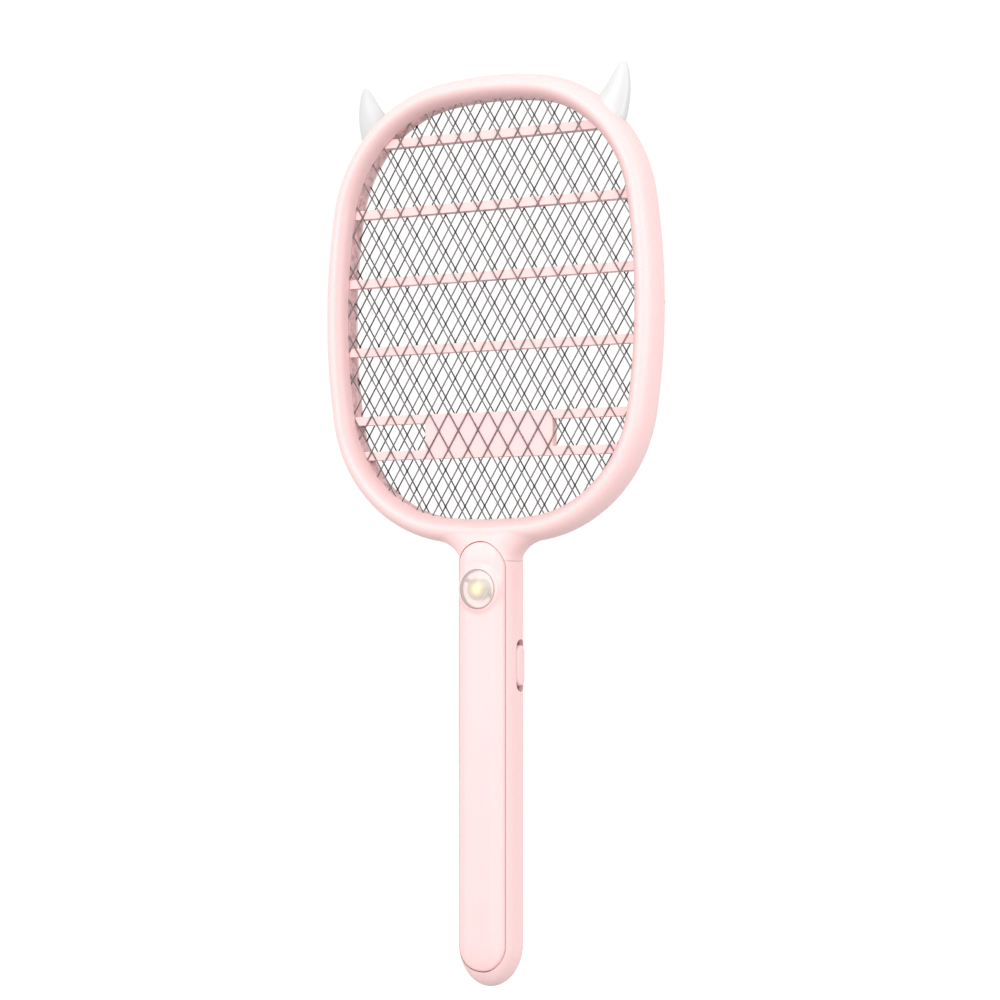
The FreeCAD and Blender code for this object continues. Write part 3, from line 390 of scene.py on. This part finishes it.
def tube_outline(offset, steps=16):
    """Points (x, y) of the handle's rounded rectangle at an offset outside it."""
    a, b, r = (size + offset for size in HANDLE)
    points = []
    for quarter, (sx, sy) in enumerate(((1, 1), (-1, 1), (-1, -1), (1, -1))):
        for turn in np.linspace(quarter * math.pi / 2, (quarter + 1) * math.pi / 2, steps):
            points.append((sx * (a - r) + r * math.cos(turn), sy * (b - r) + r * math.sin(turn)))
    return points


def join(name, objects):
    """Separate solids as one object."""
    points, faces = [], []
    for obj in objects:
        first = len(points)
        points += [tuple(vertex.co / MM) for vertex in obj.data.vertices]
        faces += [[first + index for index in polygon.vertices] for polygon in obj.data.polygons]
        bpy.data.objects.remove(obj)
    return new_object(name, points, faces, smooth=False)


def carve(obj, tools, operation="DIFFERENCE"):
    """Cut each tool out of an object, or keep what they share, and drop the tools."""
    for tool in tools:
        modifier = obj.modifiers.new("carve", "BOOLEAN")
        modifier.object = tool
        modifier.operation = operation
        modifier.solver = "MANIFOLD"
        bpy.context.view_layer.update()
        graph = bpy.context.evaluated_depsgraph_get()
        made = bpy.data.meshes.new_from_object(obj.evaluated_get(graph))
        obj.modifiers.clear()
        obj.data = made
        bpy.data.objects.remove(tool)
    return obj


def crisp(obj, angle=32.0):
    """Smooth shading with sharp edges where the surface turns."""
    obj.data.shade_smooth()
    obj.data.set_sharp_from_angle(angle=math.radians(angle))
    return obj


def across(name, outline, low, high):
    """A prism along Y whose outline is (z, x)."""
    return prism(name, outline, 1, low, high)


def head_screw_points():
    """Where the rim's screws stand: (x, z), at a share of an arc of the window and its mirror image."""
    right = []
    for index, share in HEAD_SCREW_SHARES:
        cx, cz, radius, start, end = ARCS[index]
        turn = start + (end - start) * share
        reach = radius + HEAD_SCREW_OUT
        right.append((cx + reach * math.cos(turn), cz + reach * math.sin(turn)))
    return right + [(-x, z) for x, z in right]


def screw_sinks(name, spots, bottom):
    """The round pits over screws at (x, z) spots, from a depth to the outside of the back."""
    outlines = [circle(z, x, SINK_RADIUS, 40) for x, z in spots]
    return join(name, [across(f"{name}_{i}", outline, bottom, OUTSIDE) for i, outline in enumerate(outlines)])


# ---------------------------------------------------------------- head

front = net(
    "rim_front",
    lambda x, y, z: np.maximum(head(x, y, z), HEAD_FROM - z),
    (-102, -13, 220),
    (102, 14, 481),
    0.8,
)
rear = front.copy()
rear.data = front.data.copy()
rear.name = "rim_rear"
bpy.context.scene.collection.objects.link(rear)
recess = stadium_outline(
    PANEL["half_width"] + PANEL["gap"], PANEL["bottom"] - PANEL["gap"], PANEL["top"] + PANEL["gap"]
)
carve(
    front,
    [
        block("below_seam", (-60, -40, 180), (60, 40, SEAM)),
        block("behind_front", (-150, PARTING, 180), (150, 40, 520)),
        across("seat", window_outline(SEAT_MARGIN), -GRID_FACE, 30),
        across("panel_recess", recess, -30, PANEL["back"]),
    ],
)
before_rear = block("before_rear", (-150, -40, 180), (150, PARTING + PARTING_GAP, 520))
carve(before_rear, [across("flange", window_outline(FLANGE_MARGIN), GRID_FACE, FLANGE_BACK)])
sinks = screw_sinks("rear_sinks", head_screw_points(), HEAD_SINK_BOTTOM)
carve(rear, [block("below_rear", (-60, -40, 180), (60, 40, SEAM)), before_rear, sinks])
crisp(front)
crisp(rear)

# ---------------------------------------------------------------- handle

housing = net(
    "handle_shell",
    lambda x, y, z: np.maximum(column(x, y, z), z - HANDLE_TO),
    (-18, -15, -2),
    (18, 15, 226),
    0.9,
)
port_outline = stadium_outline(PORT_HALF_HEIGHT, -PORT_HALF_WIDTH, PORT_HALF_WIDTH, steps=16)
port = [(PORT_Z + aside, along) for along, aside in port_outline]
slot_low, slot_high = SWITCH_Z - SLOT_HALF_LENGTH, SWITCH_Z + SLOT_HALF_LENGTH
slot = [(y, z) for z, y in stadium_outline(SLOT_HALF_WIDTH, slot_low, slot_high, SWITCH_Y)]
carve(
    housing,
    [
        block("above_seam", (-60, -40, SEAM - SEAM_GAP), (60, 40, 300)),
        across("handle_recess", recess, -30, PANEL["back"]),
        prism("cavity", tube_outline(-WALL), 2, CAVITY_BOTTOM, 260),
        prism("switch_slot", slot, 0, SLOT_INSIDE, 30),
        across("port_opening", port, PORT_INSIDE, OUTSIDE),
        screw_sinks("handle_sinks", HANDLE_SCREWS, HANDLE_SINK_BOTTOM),
    ],
)
crisp(housing)

panel = net("front_cover", panel_field, (-16, -17, 7), (16, -4, 235), 0.5)
inside_skirts = prism("inside_skirts", tube_outline(-SKIRT_INSET), 2, SKIRT_BOTTOM, SKIRT_TOP)
between = block("skirts", (-SKIRT_HALF_WIDTH, -40, 0), (SKIRT_HALF_WIDTH, 40, 240))
carve(inside_skirts, [between], "INTERSECT")
carve(
    panel,
    [
        inside_skirts,
        across("lens_seat", circle(LAMP_Z, 0, LENS_RADIUS + LENS_GAP, 128), -30, LENS_SEAT),
        across("lamp_bore", circle(LAMP_Z, 0, LAMP_BORE, 128), -30, -3),
    ],
)
crisp(panel)

knob = net("switch_cap", knob_field, (10, -3, 155), (19, 10, 181), 0.35)
crisp(knob)

# ---------------------------------------------------------------- horns

HORN = (
    # inner edge x, z and outer edge x, z of one section, from inside the rim to the tip
    (61.3, 459.2, 76.8, 446.0),
    (64.3, 462.2, 79.8, 449.1),
    (66.7, 465.1, 81.5, 455.8),
    (69.2, 468.2, 82.4, 462.0),
    (71.8, 472.0, 82.5, 467.8),
    (74.2, 475.6, 82.0, 473.4),
    (76.3, 478.3, 81.0, 477.5),
    (77.7, 479.6, 79.9, 479.5),
    (78.6, TOP, 78.9, TOP),
)
HORN_DEPTH = 0.55


def through(points, count):
    """A smooth curve through points, as many samples as asked for."""
    points = np.asarray(points, float)
    padded = np.vstack((2 * points[0] - points[1], points, 2 * points[-1] - points[-2]))
    samples = []
    for t in np.linspace(0, len(points) - 1, count):
        i = min(int(t), len(points) - 2)
        s = t - i
        a, b, c, d = padded[i : i + 4]
        samples.append(
            0.5 * (2 * b + (c - a) * s + (2 * a - 5 * b + 4 * c - d) * s**2 + (3 * b - 3 * c + d - a) * s**3)
        )
    return np.array(samples)


def horn(name, side):
    """A curved horn of oval sections."""
    rings, around = 56, 56
    sections = through(HORN, rings)
    points = []
    for x1, z1, x2, z2 in sections:
        middle = np.array(((x1 + x2) / 2, 0, (z1 + z2) / 2))
        reach = np.array(((x2 - x1) / 2, 0, (z2 - z1) / 2))
        depth = HORN_DEPTH * np.linalg.norm(reach)
        for turn in np.linspace(0, 2 * math.pi, around, endpoint=False):
            point = middle + reach * math.cos(turn) + np.array((0, depth * math.sin(turn), 0))
            points.append((side * point[0], point[1], min(point[2], TOP)))
    faces = []
    for here in range(0, (rings - 1) * around, around):
        for i in range(around):
            j = (i + 1) % around
            faces.append([here + i, here + j, here + around + j, here + around + i])
    faces.append(list(range(around))[::-1])
    faces.append([(rings - 1) * around + i for i in range(around)])
    return crisp(new_object(name, points, faces), 50)


right_horn = horn("horn_right", 1)
left_horn = horn("horn_left", -1)

# ---------------------------------------------------------------- lamp


def turned(name, profile, y, segments=96):
    """A closed body of revolution about the lamp's axis: (radius, distance forward) points."""
    points, faces, rings = [], [], []
    for radius, forward in profile:
        if radius < 1e-6:
            rings.append([len(points)])
            points.append((0, y - forward, LAMP_Z))
            continue
        ring = []
        for turn in np.linspace(0, 2 * math.pi, segments, endpoint=False):
            ring.append(len(points))
            points.append((radius * math.cos(turn), y - forward, LAMP_Z + radius * math.sin(turn)))
        rings.append(ring)
    for here, after in zip(rings, rings[1:] + rings[:1]):
        for i in range(segments):
            j = (i + 1) % segments
            if len(here) == 1 and len(after) == 1:
                break
            if len(here) == 1:
                faces.append([here[0], after[j], after[i]])
            elif len(after) == 1:
                faces.append([here[i], here[j], after[0]])
            else:
                faces.append([here[i], here[j], after[j], after[i]])
    return crisp(new_object(name, points, faces), 40)


def dome(radius, rise, steps):
    """Points (radius, height) of a spherical cap from its edge to its top."""
    sphere = (radius**2 + rise**2) / (2 * rise)
    reach = radius * np.linspace(1, 0, steps + 1)
    return [(r, rise - sphere + math.sqrt(sphere**2 - r * r)) for r in reach]


lens_profile = [(0.0, 0.0), (5.0, 0.0), (LENS_RADIUS - 0.2, 0.0), (LENS_RADIUS, 0.2), (LENS_RADIUS, 1.35)]
lens_profile += [(r, 1.5 + h) for r, h in dome(LENS_RADIUS - 0.15, 1.18, 18)]
lens = turned("lens_dome", lens_profile, LENS_SEAT)
bowl_inside = [(BOWL_RADIUS + 3.9 * t, 0.75 + 3.6 * t**BOWL_CURVE) for t in np.linspace(0, 1, 14)]
bowl_outside = [(BOWL_RADIUS + 4.1 * t, 3.9 * t**BOWL_CURVE) for t in np.linspace(1, 0, 14)]
bowl = turned("lamp_bowl", bowl_inside + bowl_outside, BOWL_SEAT)
bulb_profile = [(0.0, 0.0), (5.2, 0.0), (BULB_RADIUS, 0.15), (BULB_RADIUS, 0.75), (5.1, 0.9)]
bulb_profile += [(r, 0.9 + h) for r, h in dome(4.8, 2.4, 16)]
bulb = turned("bulb_dome", bulb_profile, BOWL_SEAT)


def lamp_strip(name, degrees):
    """A thin bent contact strip lying on the bowl, at an angle round the lamp."""
    angle = math.radians(degrees)
    low, high, width, thickness, front, climb = 5.0, 9.2, 2.6, 0.25, 0.9, 3.2
    points, faces = [], []
    steps = 10
    for step in range(steps + 1):
        reach = low + (high - low) * step / steps
        rise = front + climb * ((reach - low) / (high - low)) ** BOWL_CURVE
        half = width / 2 * (1 - 0.25 * step / steps)
        for side in (-half, half):
            for lift in (0.0, thickness):
                x = reach * math.cos(angle) - side * math.sin(angle)
                z = reach * math.sin(angle) + side * math.cos(angle)
                points.append((x, BOWL_SEAT - rise - lift, LAMP_Z + z))
    for a in range(0, 4 * steps, 4):
        for i, j in ((0, 1), (1, 3), (3, 2), (2, 0)):
            faces.append([a + i, a + j, a + 4 + j, a + 4 + i])
    faces += [[0, 2, 3, 1], [4 * steps + i for i in (0, 1, 3, 2)]]
    return crisp(new_object(name, points, faces), 30)


contacts = [lamp_strip("lamp_contact_upper", 148), lamp_strip("lamp_contact_lower", -32)]

# ---------------------------------------------------------------- materials

BUMP_DEPTH = 0.0001
GRAIN = 2200.0


class Nodes:
    """A material with its shader, and short ways to add and link nodes."""

    def __init__(self, name):
        self.material = bpy.data.materials.new("look_" + name)
        self.material.use_nodes = True
        self.tree = self.material.node_tree
        self.shader = self.tree.nodes["Principled BSDF"]
        self.coordinates = self.add("ShaderNodeTexCoord").outputs["Object"]

    def add(self, kind, **inputs):
        made = self.tree.nodes.new(kind)
        for key, setting in inputs.items():
            made.inputs[key.replace("_", " ")].default_value = setting
        return made

    def link(self, source, target):
        self.tree.links.new(source, target)

    def noise(self, scale, detail=3.0, stretch=(1, 1, 1)):
        mapping = self.add("ShaderNodeMapping")
        mapping.inputs["Scale"].default_value = stretch
        self.link(self.coordinates, mapping.inputs["Vector"])
        made = self.add("ShaderNodeTexNoise", Scale=scale, Detail=detail)
        self.link(mapping.outputs["Vector"], made.inputs["Vector"])
        return made.outputs["Fac"]

    def ramp(self, fac, stops):
        made = self.add("ShaderNodeValToRGB")
        elements = made.color_ramp.elements
        while len(elements) < len(stops):
            elements.new(0.5)
        for element, (position, colour) in zip(elements, stops):
            element.position = position
            element.color = (*colour, 1)
        self.link(fac, made.inputs["Fac"])
        return made.outputs["Color"]

    def levels(self, fac, *stops):
        """A ramp of plain values."""
        return self.ramp(fac, [(position, (level,) * 3) for position, level in stops])

    def spread(self, fac, low, high):
        made = self.add("ShaderNodeMapRange", To_Min=low, To_Max=high)
        self.link(fac, made.inputs["Value"])
        return made.outputs["Result"]

    def bump(self, fac, strength):
        made = self.add("ShaderNodeBump", Strength=strength, Distance=BUMP_DEPTH)
        self.link(fac, made.inputs["Height"])
        self.link(made.outputs["Normal"], self.shader.inputs["Normal"])

    def vector(self, operation, first, second=None, out="Vector"):
        """Vector maths on a socket and a second socket or constant."""
        made = self.add("ShaderNodeVectorMath")
        made.operation = operation
        self.link(first, made.inputs[0])
        if isinstance(second, tuple):
            made.inputs[1].default_value = second
        elif second is not None:
            self.link(second, made.inputs[1])
        return made.outputs[out]

    def from_axis(self, height):
        """The way out from an axis that runs along Y at a height in millimetres."""
        out = self.vector("SUBTRACT", self.coordinates, (0, 0, height * MM))
        return self.vector("MULTIPLY", out, (1, 0, 1))

    def mottled(self, share, scale, low, high):
        """A share with a noise between two values added."""
        made = self.add("ShaderNodeMath")
        self.link(share, made.inputs[0])
        self.link(self.spread(self.noise(scale), low, high), made.inputs[1])
        return made.outputs["Value"]

    def surface(self, colour, roughness):
        self.link(colour, self.shader.inputs["Base Color"])
        self.link(roughness, self.shader.inputs["Roughness"])

    def settings(self, constants):
        for key, setting in constants.items():
            self.shader.inputs[key.replace("_", " ")].default_value = setting


def srgb(r, g, b):
    """A display colour, 0 to 255, as linear light."""
    parts = [c / 255 for c in (r, g, b)]
    return tuple(c / 12.92 if c <= 0.04045 else ((c + 0.055) / 1.055) ** 2.4 for c in parts)


def finish(name, dark, light, roughness, scale, bump=0.05, stretch=(1, 1, 1), **constants):
    """A material whose colour, roughness and relief vary a little over the surface."""
    nodes = Nodes(name)
    nodes.surface(
        nodes.ramp(nodes.noise(scale, 4.0, stretch), [(0.3, dark), (0.7, light)]),
        nodes.spread(nodes.noise(scale * 7, 2.0, stretch), *roughness),
    )
    nodes.bump(nodes.noise(GRAIN, 2.0, stretch), bump)
    nodes.settings(constants)
    return nodes.material


PINK = finish(
    "pink_shell", (0.94, 0.636, 0.63), (0.95, 0.652, 0.647), (0.34, 0.42), scale=35.0, bump=0.03,
    Subsurface_Weight=0.12, Subsurface_Scale=0.0025, Specular_IOR_Level=0.5,
)
WHITE_HORN = finish(
    "horn_white", (0.6, 0.605, 0.605), (0.68, 0.68, 0.68), (0.3, 0.42), scale=45.0, bump=0.02,
    stretch=(1.6, 1.6, 0.25), Specular_IOR_Level=0.45, Coat_Weight=0.1, Coat_Roughness=0.15,
)
FRONT_METAL = finish(
    "grid_metal", (0.11, 0.098, 0.096), (0.19, 0.172, 0.168), (0.34, 0.5), scale=180.0, bump=0.12,
    Metallic=0.75,
)
REAR_METAL = finish(
    "grid_metal_dark", (0.03, 0.028, 0.028), (0.055, 0.05, 0.05), (0.36, 0.5), scale=180.0, bump=0.12,
    Metallic=0.75,
)
STEEL = finish("screw_steel", (0.42, 0.42, 0.43), (0.58, 0.58, 0.59), (0.22, 0.36), scale=400.0, Metallic=1.0)
# a real plate under the switch slot, coloured the dark brownish pink of painted shade in the slot's recess
SLOT_PLATE_PAINTED_SHADE = finish("switch_plastic", srgb(118, 80, 80), srgb(136, 95, 95), (0.42, 0.55), scale=120.0)
BLACK = finish("black_plastic", (0.018, 0.018, 0.02), (0.03, 0.03, 0.032), (0.4, 0.55), scale=150.0)
BOARD_GREEN = finish("board_green", (0.012, 0.075, 0.03), (0.02, 0.12, 0.045), (0.3, 0.42), scale=500.0)
BOARD_WHITE = finish("board_white", (0.72, 0.72, 0.69), (0.8, 0.8, 0.77), (0.35, 0.45), scale=300.0)
COPPER = finish("copper_wire", (0.42, 0.14, 0.05), (0.6, 0.24, 0.1), (0.24, 0.36), scale=900.0, Metallic=1.0)
FERRITE = finish("ferrite", (0.035, 0.033, 0.032), (0.055, 0.052, 0.05), (0.5, 0.65), scale=700.0, bump=0.2)
FILM = finish("film_capacitor", (0.32, 0.1, 0.03), (0.42, 0.14, 0.045), (0.28, 0.4), scale=200.0)
EPOXY = finish("black_epoxy", (0.015, 0.015, 0.016), (0.026, 0.026, 0.028), (0.35, 0.5), scale=300.0)
RESISTOR = finish("resistor_body", (0.5, 0.36, 0.2), (0.58, 0.44, 0.26), (0.35, 0.5), scale=300.0)
WRAP = finish("battery_wrap", (0.02, 0.13, 0.2), (0.03, 0.17, 0.26), (0.25, 0.38), scale=120.0)
NICKEL = finish(
    "contact_nickel", (0.5, 0.48, 0.44), (0.66, 0.63, 0.58), (0.22, 0.36), scale=500.0, Metallic=1.0
)
GREY_CONTACT = finish("lamp_contact", (0.12, 0.115, 0.11), (0.2, 0.19, 0.185), (0.25, 0.4), scale=500.0)
RED_WIRE = finish("wire_red", (0.42, 0.02, 0.018), (0.52, 0.03, 0.025), (0.3, 0.42), scale=200.0)
BLACK_WIRE = finish("wire_black", (0.014, 0.014, 0.015), (0.024, 0.024, 0.026), (0.3, 0.42), scale=200.0)
WHITE_WIRE = finish("wire_white", (0.66, 0.66, 0.64), (0.76, 0.76, 0.74), (0.3, 0.42), scale=200.0)
# the reflector's emission is painted light: the bowl glows so that it shows bright behind the lens
PEARL_PAINTED_GLOW = finish(
    "reflector_pearl", (0.9, 0.84, 0.82), (0.95, 0.9, 0.88), (0.16, 0.28), scale=250.0,
    Emission_Color=(1.0, 0.89, 0.875, 1.0), Emission_Strength=0.52,
)


def lamp_reach(nodes, reach):
    """The distance from the lamp's axis as a share of a reach in millimetres."""
    share = nodes.add("ShaderNodeMapRange", From_Max=reach * MM)
    nodes.link(nodes.vector("LENGTH", nodes.from_axis(LAMP_Z), out="Value"), share.inputs["Value"])
    return share.outputs["Result"]


def radial_material(name, stops, glow, roughness, reach):
    """A material that changes with the distance from the lamp's axis."""
    nodes = Nodes(name)
    share = lamp_reach(nodes, reach)
    colour = nodes.ramp(share, stops)
    nodes.surface(colour, nodes.spread(nodes.noise(900.0), *roughness))
    nodes.link(colour, nodes.shader.inputs["Emission Color"])
    nodes.link(nodes.spread(share, *glow), nodes.shader.inputs["Emission Strength"])
    nodes.bump(nodes.noise(2500.0), 0.03)
    return nodes.material


BULB = radial_material(
    "bulb_clear",
    [
        (0.0, srgb(255, 252, 190)),
        (0.38, srgb(252, 246, 178)),
        (0.62, srgb(238, 232, 205)),
        (0.85, srgb(206, 200, 196)),
        (1.0, srgb(188, 180, 178)),
    ],
    glow=(0.75, 0.0),
    roughness=(0.12, 0.2),
    reach=BULB_RADIUS,
)
PHOSPHOR = radial_material(
    "lamp_phosphor",
    [(0.0, srgb(255, 250, 150)), (1.0, srgb(250, 230, 120))],
    glow=(1.6, 0.8),
    roughness=(0.4, 0.5),
    reach=CHIP_REACH,
)


def clear_plastic(name):
    """The lens: a glowing middle, a grey ring, a clearer zone where the bowl shows, and a darker edge of
    painted shade.
    """
    nodes = Nodes(name)
    share = lamp_reach(nodes, LENS_RADIUS)
    near = nodes.mottled(share, 260.0, -0.015, 0.015)
    look = nodes.ramp(
        near,
        [
            (0.0, srgb(238, 236, 190)),
            (0.16, srgb(236, 230, 186)),
            (0.3, srgb(226, 212, 184)),
            (0.5, srgb(204, 190, 182)),
            (0.6, srgb(238, 224, 221)),
            (0.9, srgb(240, 226, 223)),
            # painted shade: the lens darkens at its edge, where it meets its seat
            (0.955, srgb(188, 163, 159)),
        ],
    )
    nodes.surface(look, nodes.spread(nodes.noise(500.0), 0.05, 0.12))
    nodes.link(look, nodes.shader.inputs["Emission Color"])
    glow = nodes.levels(share, (0.0, 0.12), (0.2, 0.05), (0.34, 0.0))
    nodes.link(glow, nodes.shader.inputs["Emission Strength"])
    nodes.bump(nodes.noise(1500.0), 0.02)
    veil = nodes.levels(near, (0.0, 0.97), (0.5, 0.85), (0.66, 0.42), (0.89, 0.45), (0.955, 0.92))
    mix = nodes.add("ShaderNodeMixShader")
    nodes.link(veil, mix.inputs["Fac"])
    nodes.link(nodes.add("ShaderNodeBsdfTransparent").outputs["BSDF"], mix.inputs[1])
    nodes.link(nodes.shader.outputs["BSDF"], mix.inputs[2])
    nodes.link(mix.outputs["Shader"], nodes.tree.nodes["Material Output"].inputs["Surface"])
    return nodes.material


CLEAR = clear_plastic("lens_clear")


def painted_shade_plastic(name, turn, shade_mottle, stops, roughness, **constants):
    """A pink with painted shade that grows darker as the surface turns to the middle of the window."""
    nodes = Nodes(name)
    # painted shade: the more a surface's normal points at the window's middle line, the darker end of the
    # stops it takes
    outward = nodes.vector("NORMALIZE", nodes.from_axis(WINDOW_MIDDLE))
    normal = nodes.add("ShaderNodeNewGeometry").outputs["Normal"]
    share = nodes.add("ShaderNodeMapRange", From_Min=turn[0], From_Max=turn[1])
    nodes.link(nodes.vector("DOT_PRODUCT", outward, normal, "Value"), share.inputs["Value"])
    # the noise wobbles where the painted shade falls
    colour = nodes.ramp(nodes.mottled(share.outputs["Result"], *shade_mottle), stops)
    nodes.surface(colour, nodes.spread(nodes.noise(245.0), *roughness))
    nodes.bump(nodes.noise(GRAIN), 0.03)
    nodes.settings(constants)
    return nodes.material


# the rim's pink, with painted shade on its inner slope where it turns toward the window
RIM_PINK_PAINTED_SHADE = painted_shade_plastic(
    "rim_pink_painted_shade",
    turn=(-0.03, -0.8),
    shade_mottle=(35.0, -0.02, 0.02),
    stops=[
        (0.0, (0.945, 0.644, 0.638)),
        (0.3, (0.905, 0.612, 0.608)),
        (0.7, (0.85, 0.572, 0.568)),
        (1.0, (0.82, 0.55, 0.547)),
    ],
    roughness=(0.34, 0.42),
    Subsurface_Weight=0.12,
    Subsurface_Scale=0.0025,
    Specular_IOR_Level=0.5,
)
# the spacer's pink, with painted shade and blotchy painted reflections of the grids on the wall that faces
# the window
INNER_PINK_PAINTED_SHADE_AND_REFLECTION = painted_shade_plastic(
    "inner_pink_painted_shade_and_reflection",
    turn=(-0.45, -0.85),
    shade_mottle=(320.0, -0.45, 0.25),
    stops=[
        (0.25, (0.937, 0.612, 0.607)),
        (0.75, (0.86, 0.565, 0.567)),
        (0.9, (0.76, 0.492, 0.5)),
        (1.0, (0.55, 0.34, 0.35)),
    ],
    roughness=(0.42, 0.5),
    Specular_IOR_Level=0.4,
)


def coat(obj, material):
    """Give an object one material."""
    obj.data.materials.clear()
    obj.data.materials.append(material)


CAD_FINISH = {
    PINK: ("head_front_frame", "head_rear_frame", "handle_housing", "handle_front_panel", "switch_knob"),
    INNER_PINK_PAINTED_SHADE_AND_REFLECTION: ("spacer_grid",),
    WHITE_HORN: ("right_horn", "left_horn"),
    FRONT_METAL: ("front_grid", "front_grid_tab"),
    REAR_METAL: ("rear_grid", "rear_grid_tab"),
    STEEL: ("head_screws", "handle_screws"),
    CLEAR: ("lamp_lens",),
    PEARL_PAINTED_GLOW: ("lamp_reflector",),
    BULB: ("lamp_bulb",),
    PHOSPHOR: ("lamp_chip",),
    BOARD_WHITE: ("lamp_board",),
    SLOT_PLATE_PAINTED_SHADE: ("switch_slide_plate",),
    BLACK: ("switch_lever", "switch_body"),
    BOARD_GREEN: ("main_board", "charging_board"),
    FERRITE: ("transformer_core",),
    COPPER: ("transformer_winding",),
    FILM: ("storage_capacitor", "multiplier_capacitors"),
    EPOXY: ("multiplier_diodes", "drive_transistor", "charge_controller"),
    RESISTOR: ("bleed_resistors",),
    WRAP: ("battery_cell",),
    NICKEL: ("battery_tabs", "charging_port"),
    WHITE_WIRE: ("front_grid_lead",),
    BLACK_WIRE: ("rear_grid_lead", "battery_lead_negative"),
    RED_WIRE: ("battery_lead_positive", "lamp_leads", "charging_leads"),
}
for material, names in CAD_FINISH.items():
    for node_name in names:
        coat(NODES[node_name], material)

# ---------------------------------------------------------------- which piece stands for what

PIECES = (
    # piece, material, body, the CAD nodes it stands for, the record's material slot
    (front, RIM_PINK_PAINTED_SHADE, BODY, ("head_front_frame",), "pink_shell"),
    (rear, RIM_PINK_PAINTED_SHADE, BODY, ("head_rear_frame",), "pink_shell"),
    (housing, PINK, BODY, ("handle_housing",), "pink_shell"),
    (panel, PINK, BODY, ("handle_front_panel",), "pink_shell"),
    (knob, PINK, SLIDE, ("switch_knob",), "pink_shell"),
    (right_horn, WHITE_HORN, BODY, ("right_horn",), "horn_white"),
    (left_horn, WHITE_HORN, BODY, ("left_horn",), "horn_white"),
    (lens, CLEAR, BODY, ("lamp_lens",), "lens_clear"),
    (bowl, PEARL_PAINTED_GLOW, BODY, ("lamp_reflector",), "reflector_pearl"),
    (bulb, BULB, BODY, ("lamp_bulb",), "bulb_clear"),
    (contacts[0], GREY_CONTACT, BODY, (), "contact_nickel"),
    (contacts[1], GREY_CONTACT, BODY, (), "contact_nickel"),
)
for piece, material, body, stands_for, slot_name in PIECES:
    coat(piece, material)
    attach(piece, body)
    if stands_for:
        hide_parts(*stands_for)

# ---------------------------------------------------------------- floor, light and camera

FLOOR_REACH, FLOOR_HEIGHT = 6, -0.3
floor_mesh = bpy.data.meshes.new("floor")
floor_sides = ((-1, -1), (1, -1), (1, 1), (-1, 1))
floor_corners = [(x * FLOOR_REACH, y * FLOOR_REACH, FLOOR_HEIGHT) for x, y in floor_sides]
floor_mesh.from_pydata(floor_corners, [], [(0, 1, 2, 3)])
floor = bpy.data.objects.new("floor", floor_mesh)
bpy.context.scene.collection.objects.link(floor)
floor_nodes = Nodes("pale_floor")
floor_nodes.link(
    floor_nodes.ramp(floor_nodes.noise(3.0), [(0.3, (0.95, 0.95, 0.95)), (0.7, (0.97, 0.97, 0.97))]),
    floor_nodes.shader.inputs["Base Color"],
)
floor_nodes.settings({"Roughness": 0.9, "Emission_Color": (1, 1, 1, 1), "Emission_Strength": 0.35})
floor_mesh.materials.append(floor_nodes.material)
floor.visible_diffuse = False
floor.visible_glossy = False

# the sky's light grows with height, and the camera sees it even
SKY_LOW, SKY_HIGH, SKY_SEEN = 0.6, 1.08, 1.05
world = bpy.data.worlds.new("studio")
world.use_nodes = True
background = world.node_tree.nodes["Background"]
background.inputs["Color"].default_value = (1, 1, 1, 1)
sky = world.node_tree
direction = sky.nodes.new("ShaderNodeTexCoord")
upward = sky.nodes.new("ShaderNodeSeparateXYZ")
sky.links.new(direction.outputs["Generated"], upward.inputs["Vector"])
rising = sky.nodes.new("ShaderNodeMapRange")
rising.inputs["From Min"].default_value = -1.0
rising.inputs["To Min"].default_value = SKY_LOW
rising.inputs["To Max"].default_value = SKY_HIGH
sky.links.new(upward.outputs["Z"], rising.inputs["Value"])
seen = sky.nodes.new("ShaderNodeLightPath")
strength = sky.nodes.new("ShaderNodeMapRange")
strength.inputs["To Max"].default_value = SKY_SEEN
sky.links.new(rising.outputs["Result"], strength.inputs["To Min"])
sky.links.new(seen.outputs["Is Camera Ray"], strength.inputs["Value"])
sky.links.new(strength.outputs["Result"], background.inputs["Strength"])
bpy.context.scene.world = world
bpy.context.scene.view_settings.view_transform = "Standard"

LIT_POINT = (0, 0, 0.25)


def softbox(name, location, size, power):
    """A rectangular light aimed at the lit point."""
    light = bpy.data.lights.new(name, "AREA")
    light.shape = "RECTANGLE"
    light.size, light.size_y = size
    light.energy = power
    obj = bpy.data.objects.new(name, light)
    obj.location = location
    obj.rotation_euler = (Vector(LIT_POINT) - Vector(location)).to_track_quat("-Z", "Y").to_euler()
    bpy.context.scene.collection.objects.link(obj)


softbox("key", (-0.45, -1.6, 0.85), (0.9, 1.2), 13.0)
softbox("fill", (1.7, -0.9, 0.6), (0.8, 1.2), 12.0)

# the camera's place, and its focal length and aim as shares of the frame's width
CAMERA_TURN = math.radians(30.2)
CAMERA_DISTANCE, CAMERA_HEIGHT = 1.446, 0.2011
FOCAL, AIM_RIGHT, AIM_UP, SHIFT_UP = 2.748, 0.0089, 0.0583, 0.0443
SENSOR = 36.0
camera_data = bpy.data.cameras.new("camera")
camera_data.sensor_width = SENSOR
camera_data.lens = SENSOR * FOCAL
camera_data.shift_y = SHIFT_UP
camera_data.clip_start, camera_data.clip_end = 0.05, 40.0
camera = bpy.data.objects.new("camera", camera_data)
camera.location = (
    CAMERA_DISTANCE * math.sin(CAMERA_TURN),
    -CAMERA_DISTANCE * math.cos(CAMERA_TURN),
    CAMERA_HEIGHT,
)
camera.rotation_euler = (
    math.pi / 2 + math.atan(AIM_UP / FOCAL),
    0.0,
    CAMERA_TURN - math.atan(AIM_RIGHT / FOCAL),
)
bpy.context.scene.collection.objects.link(camera)
bpy.context.scene.camera = camera
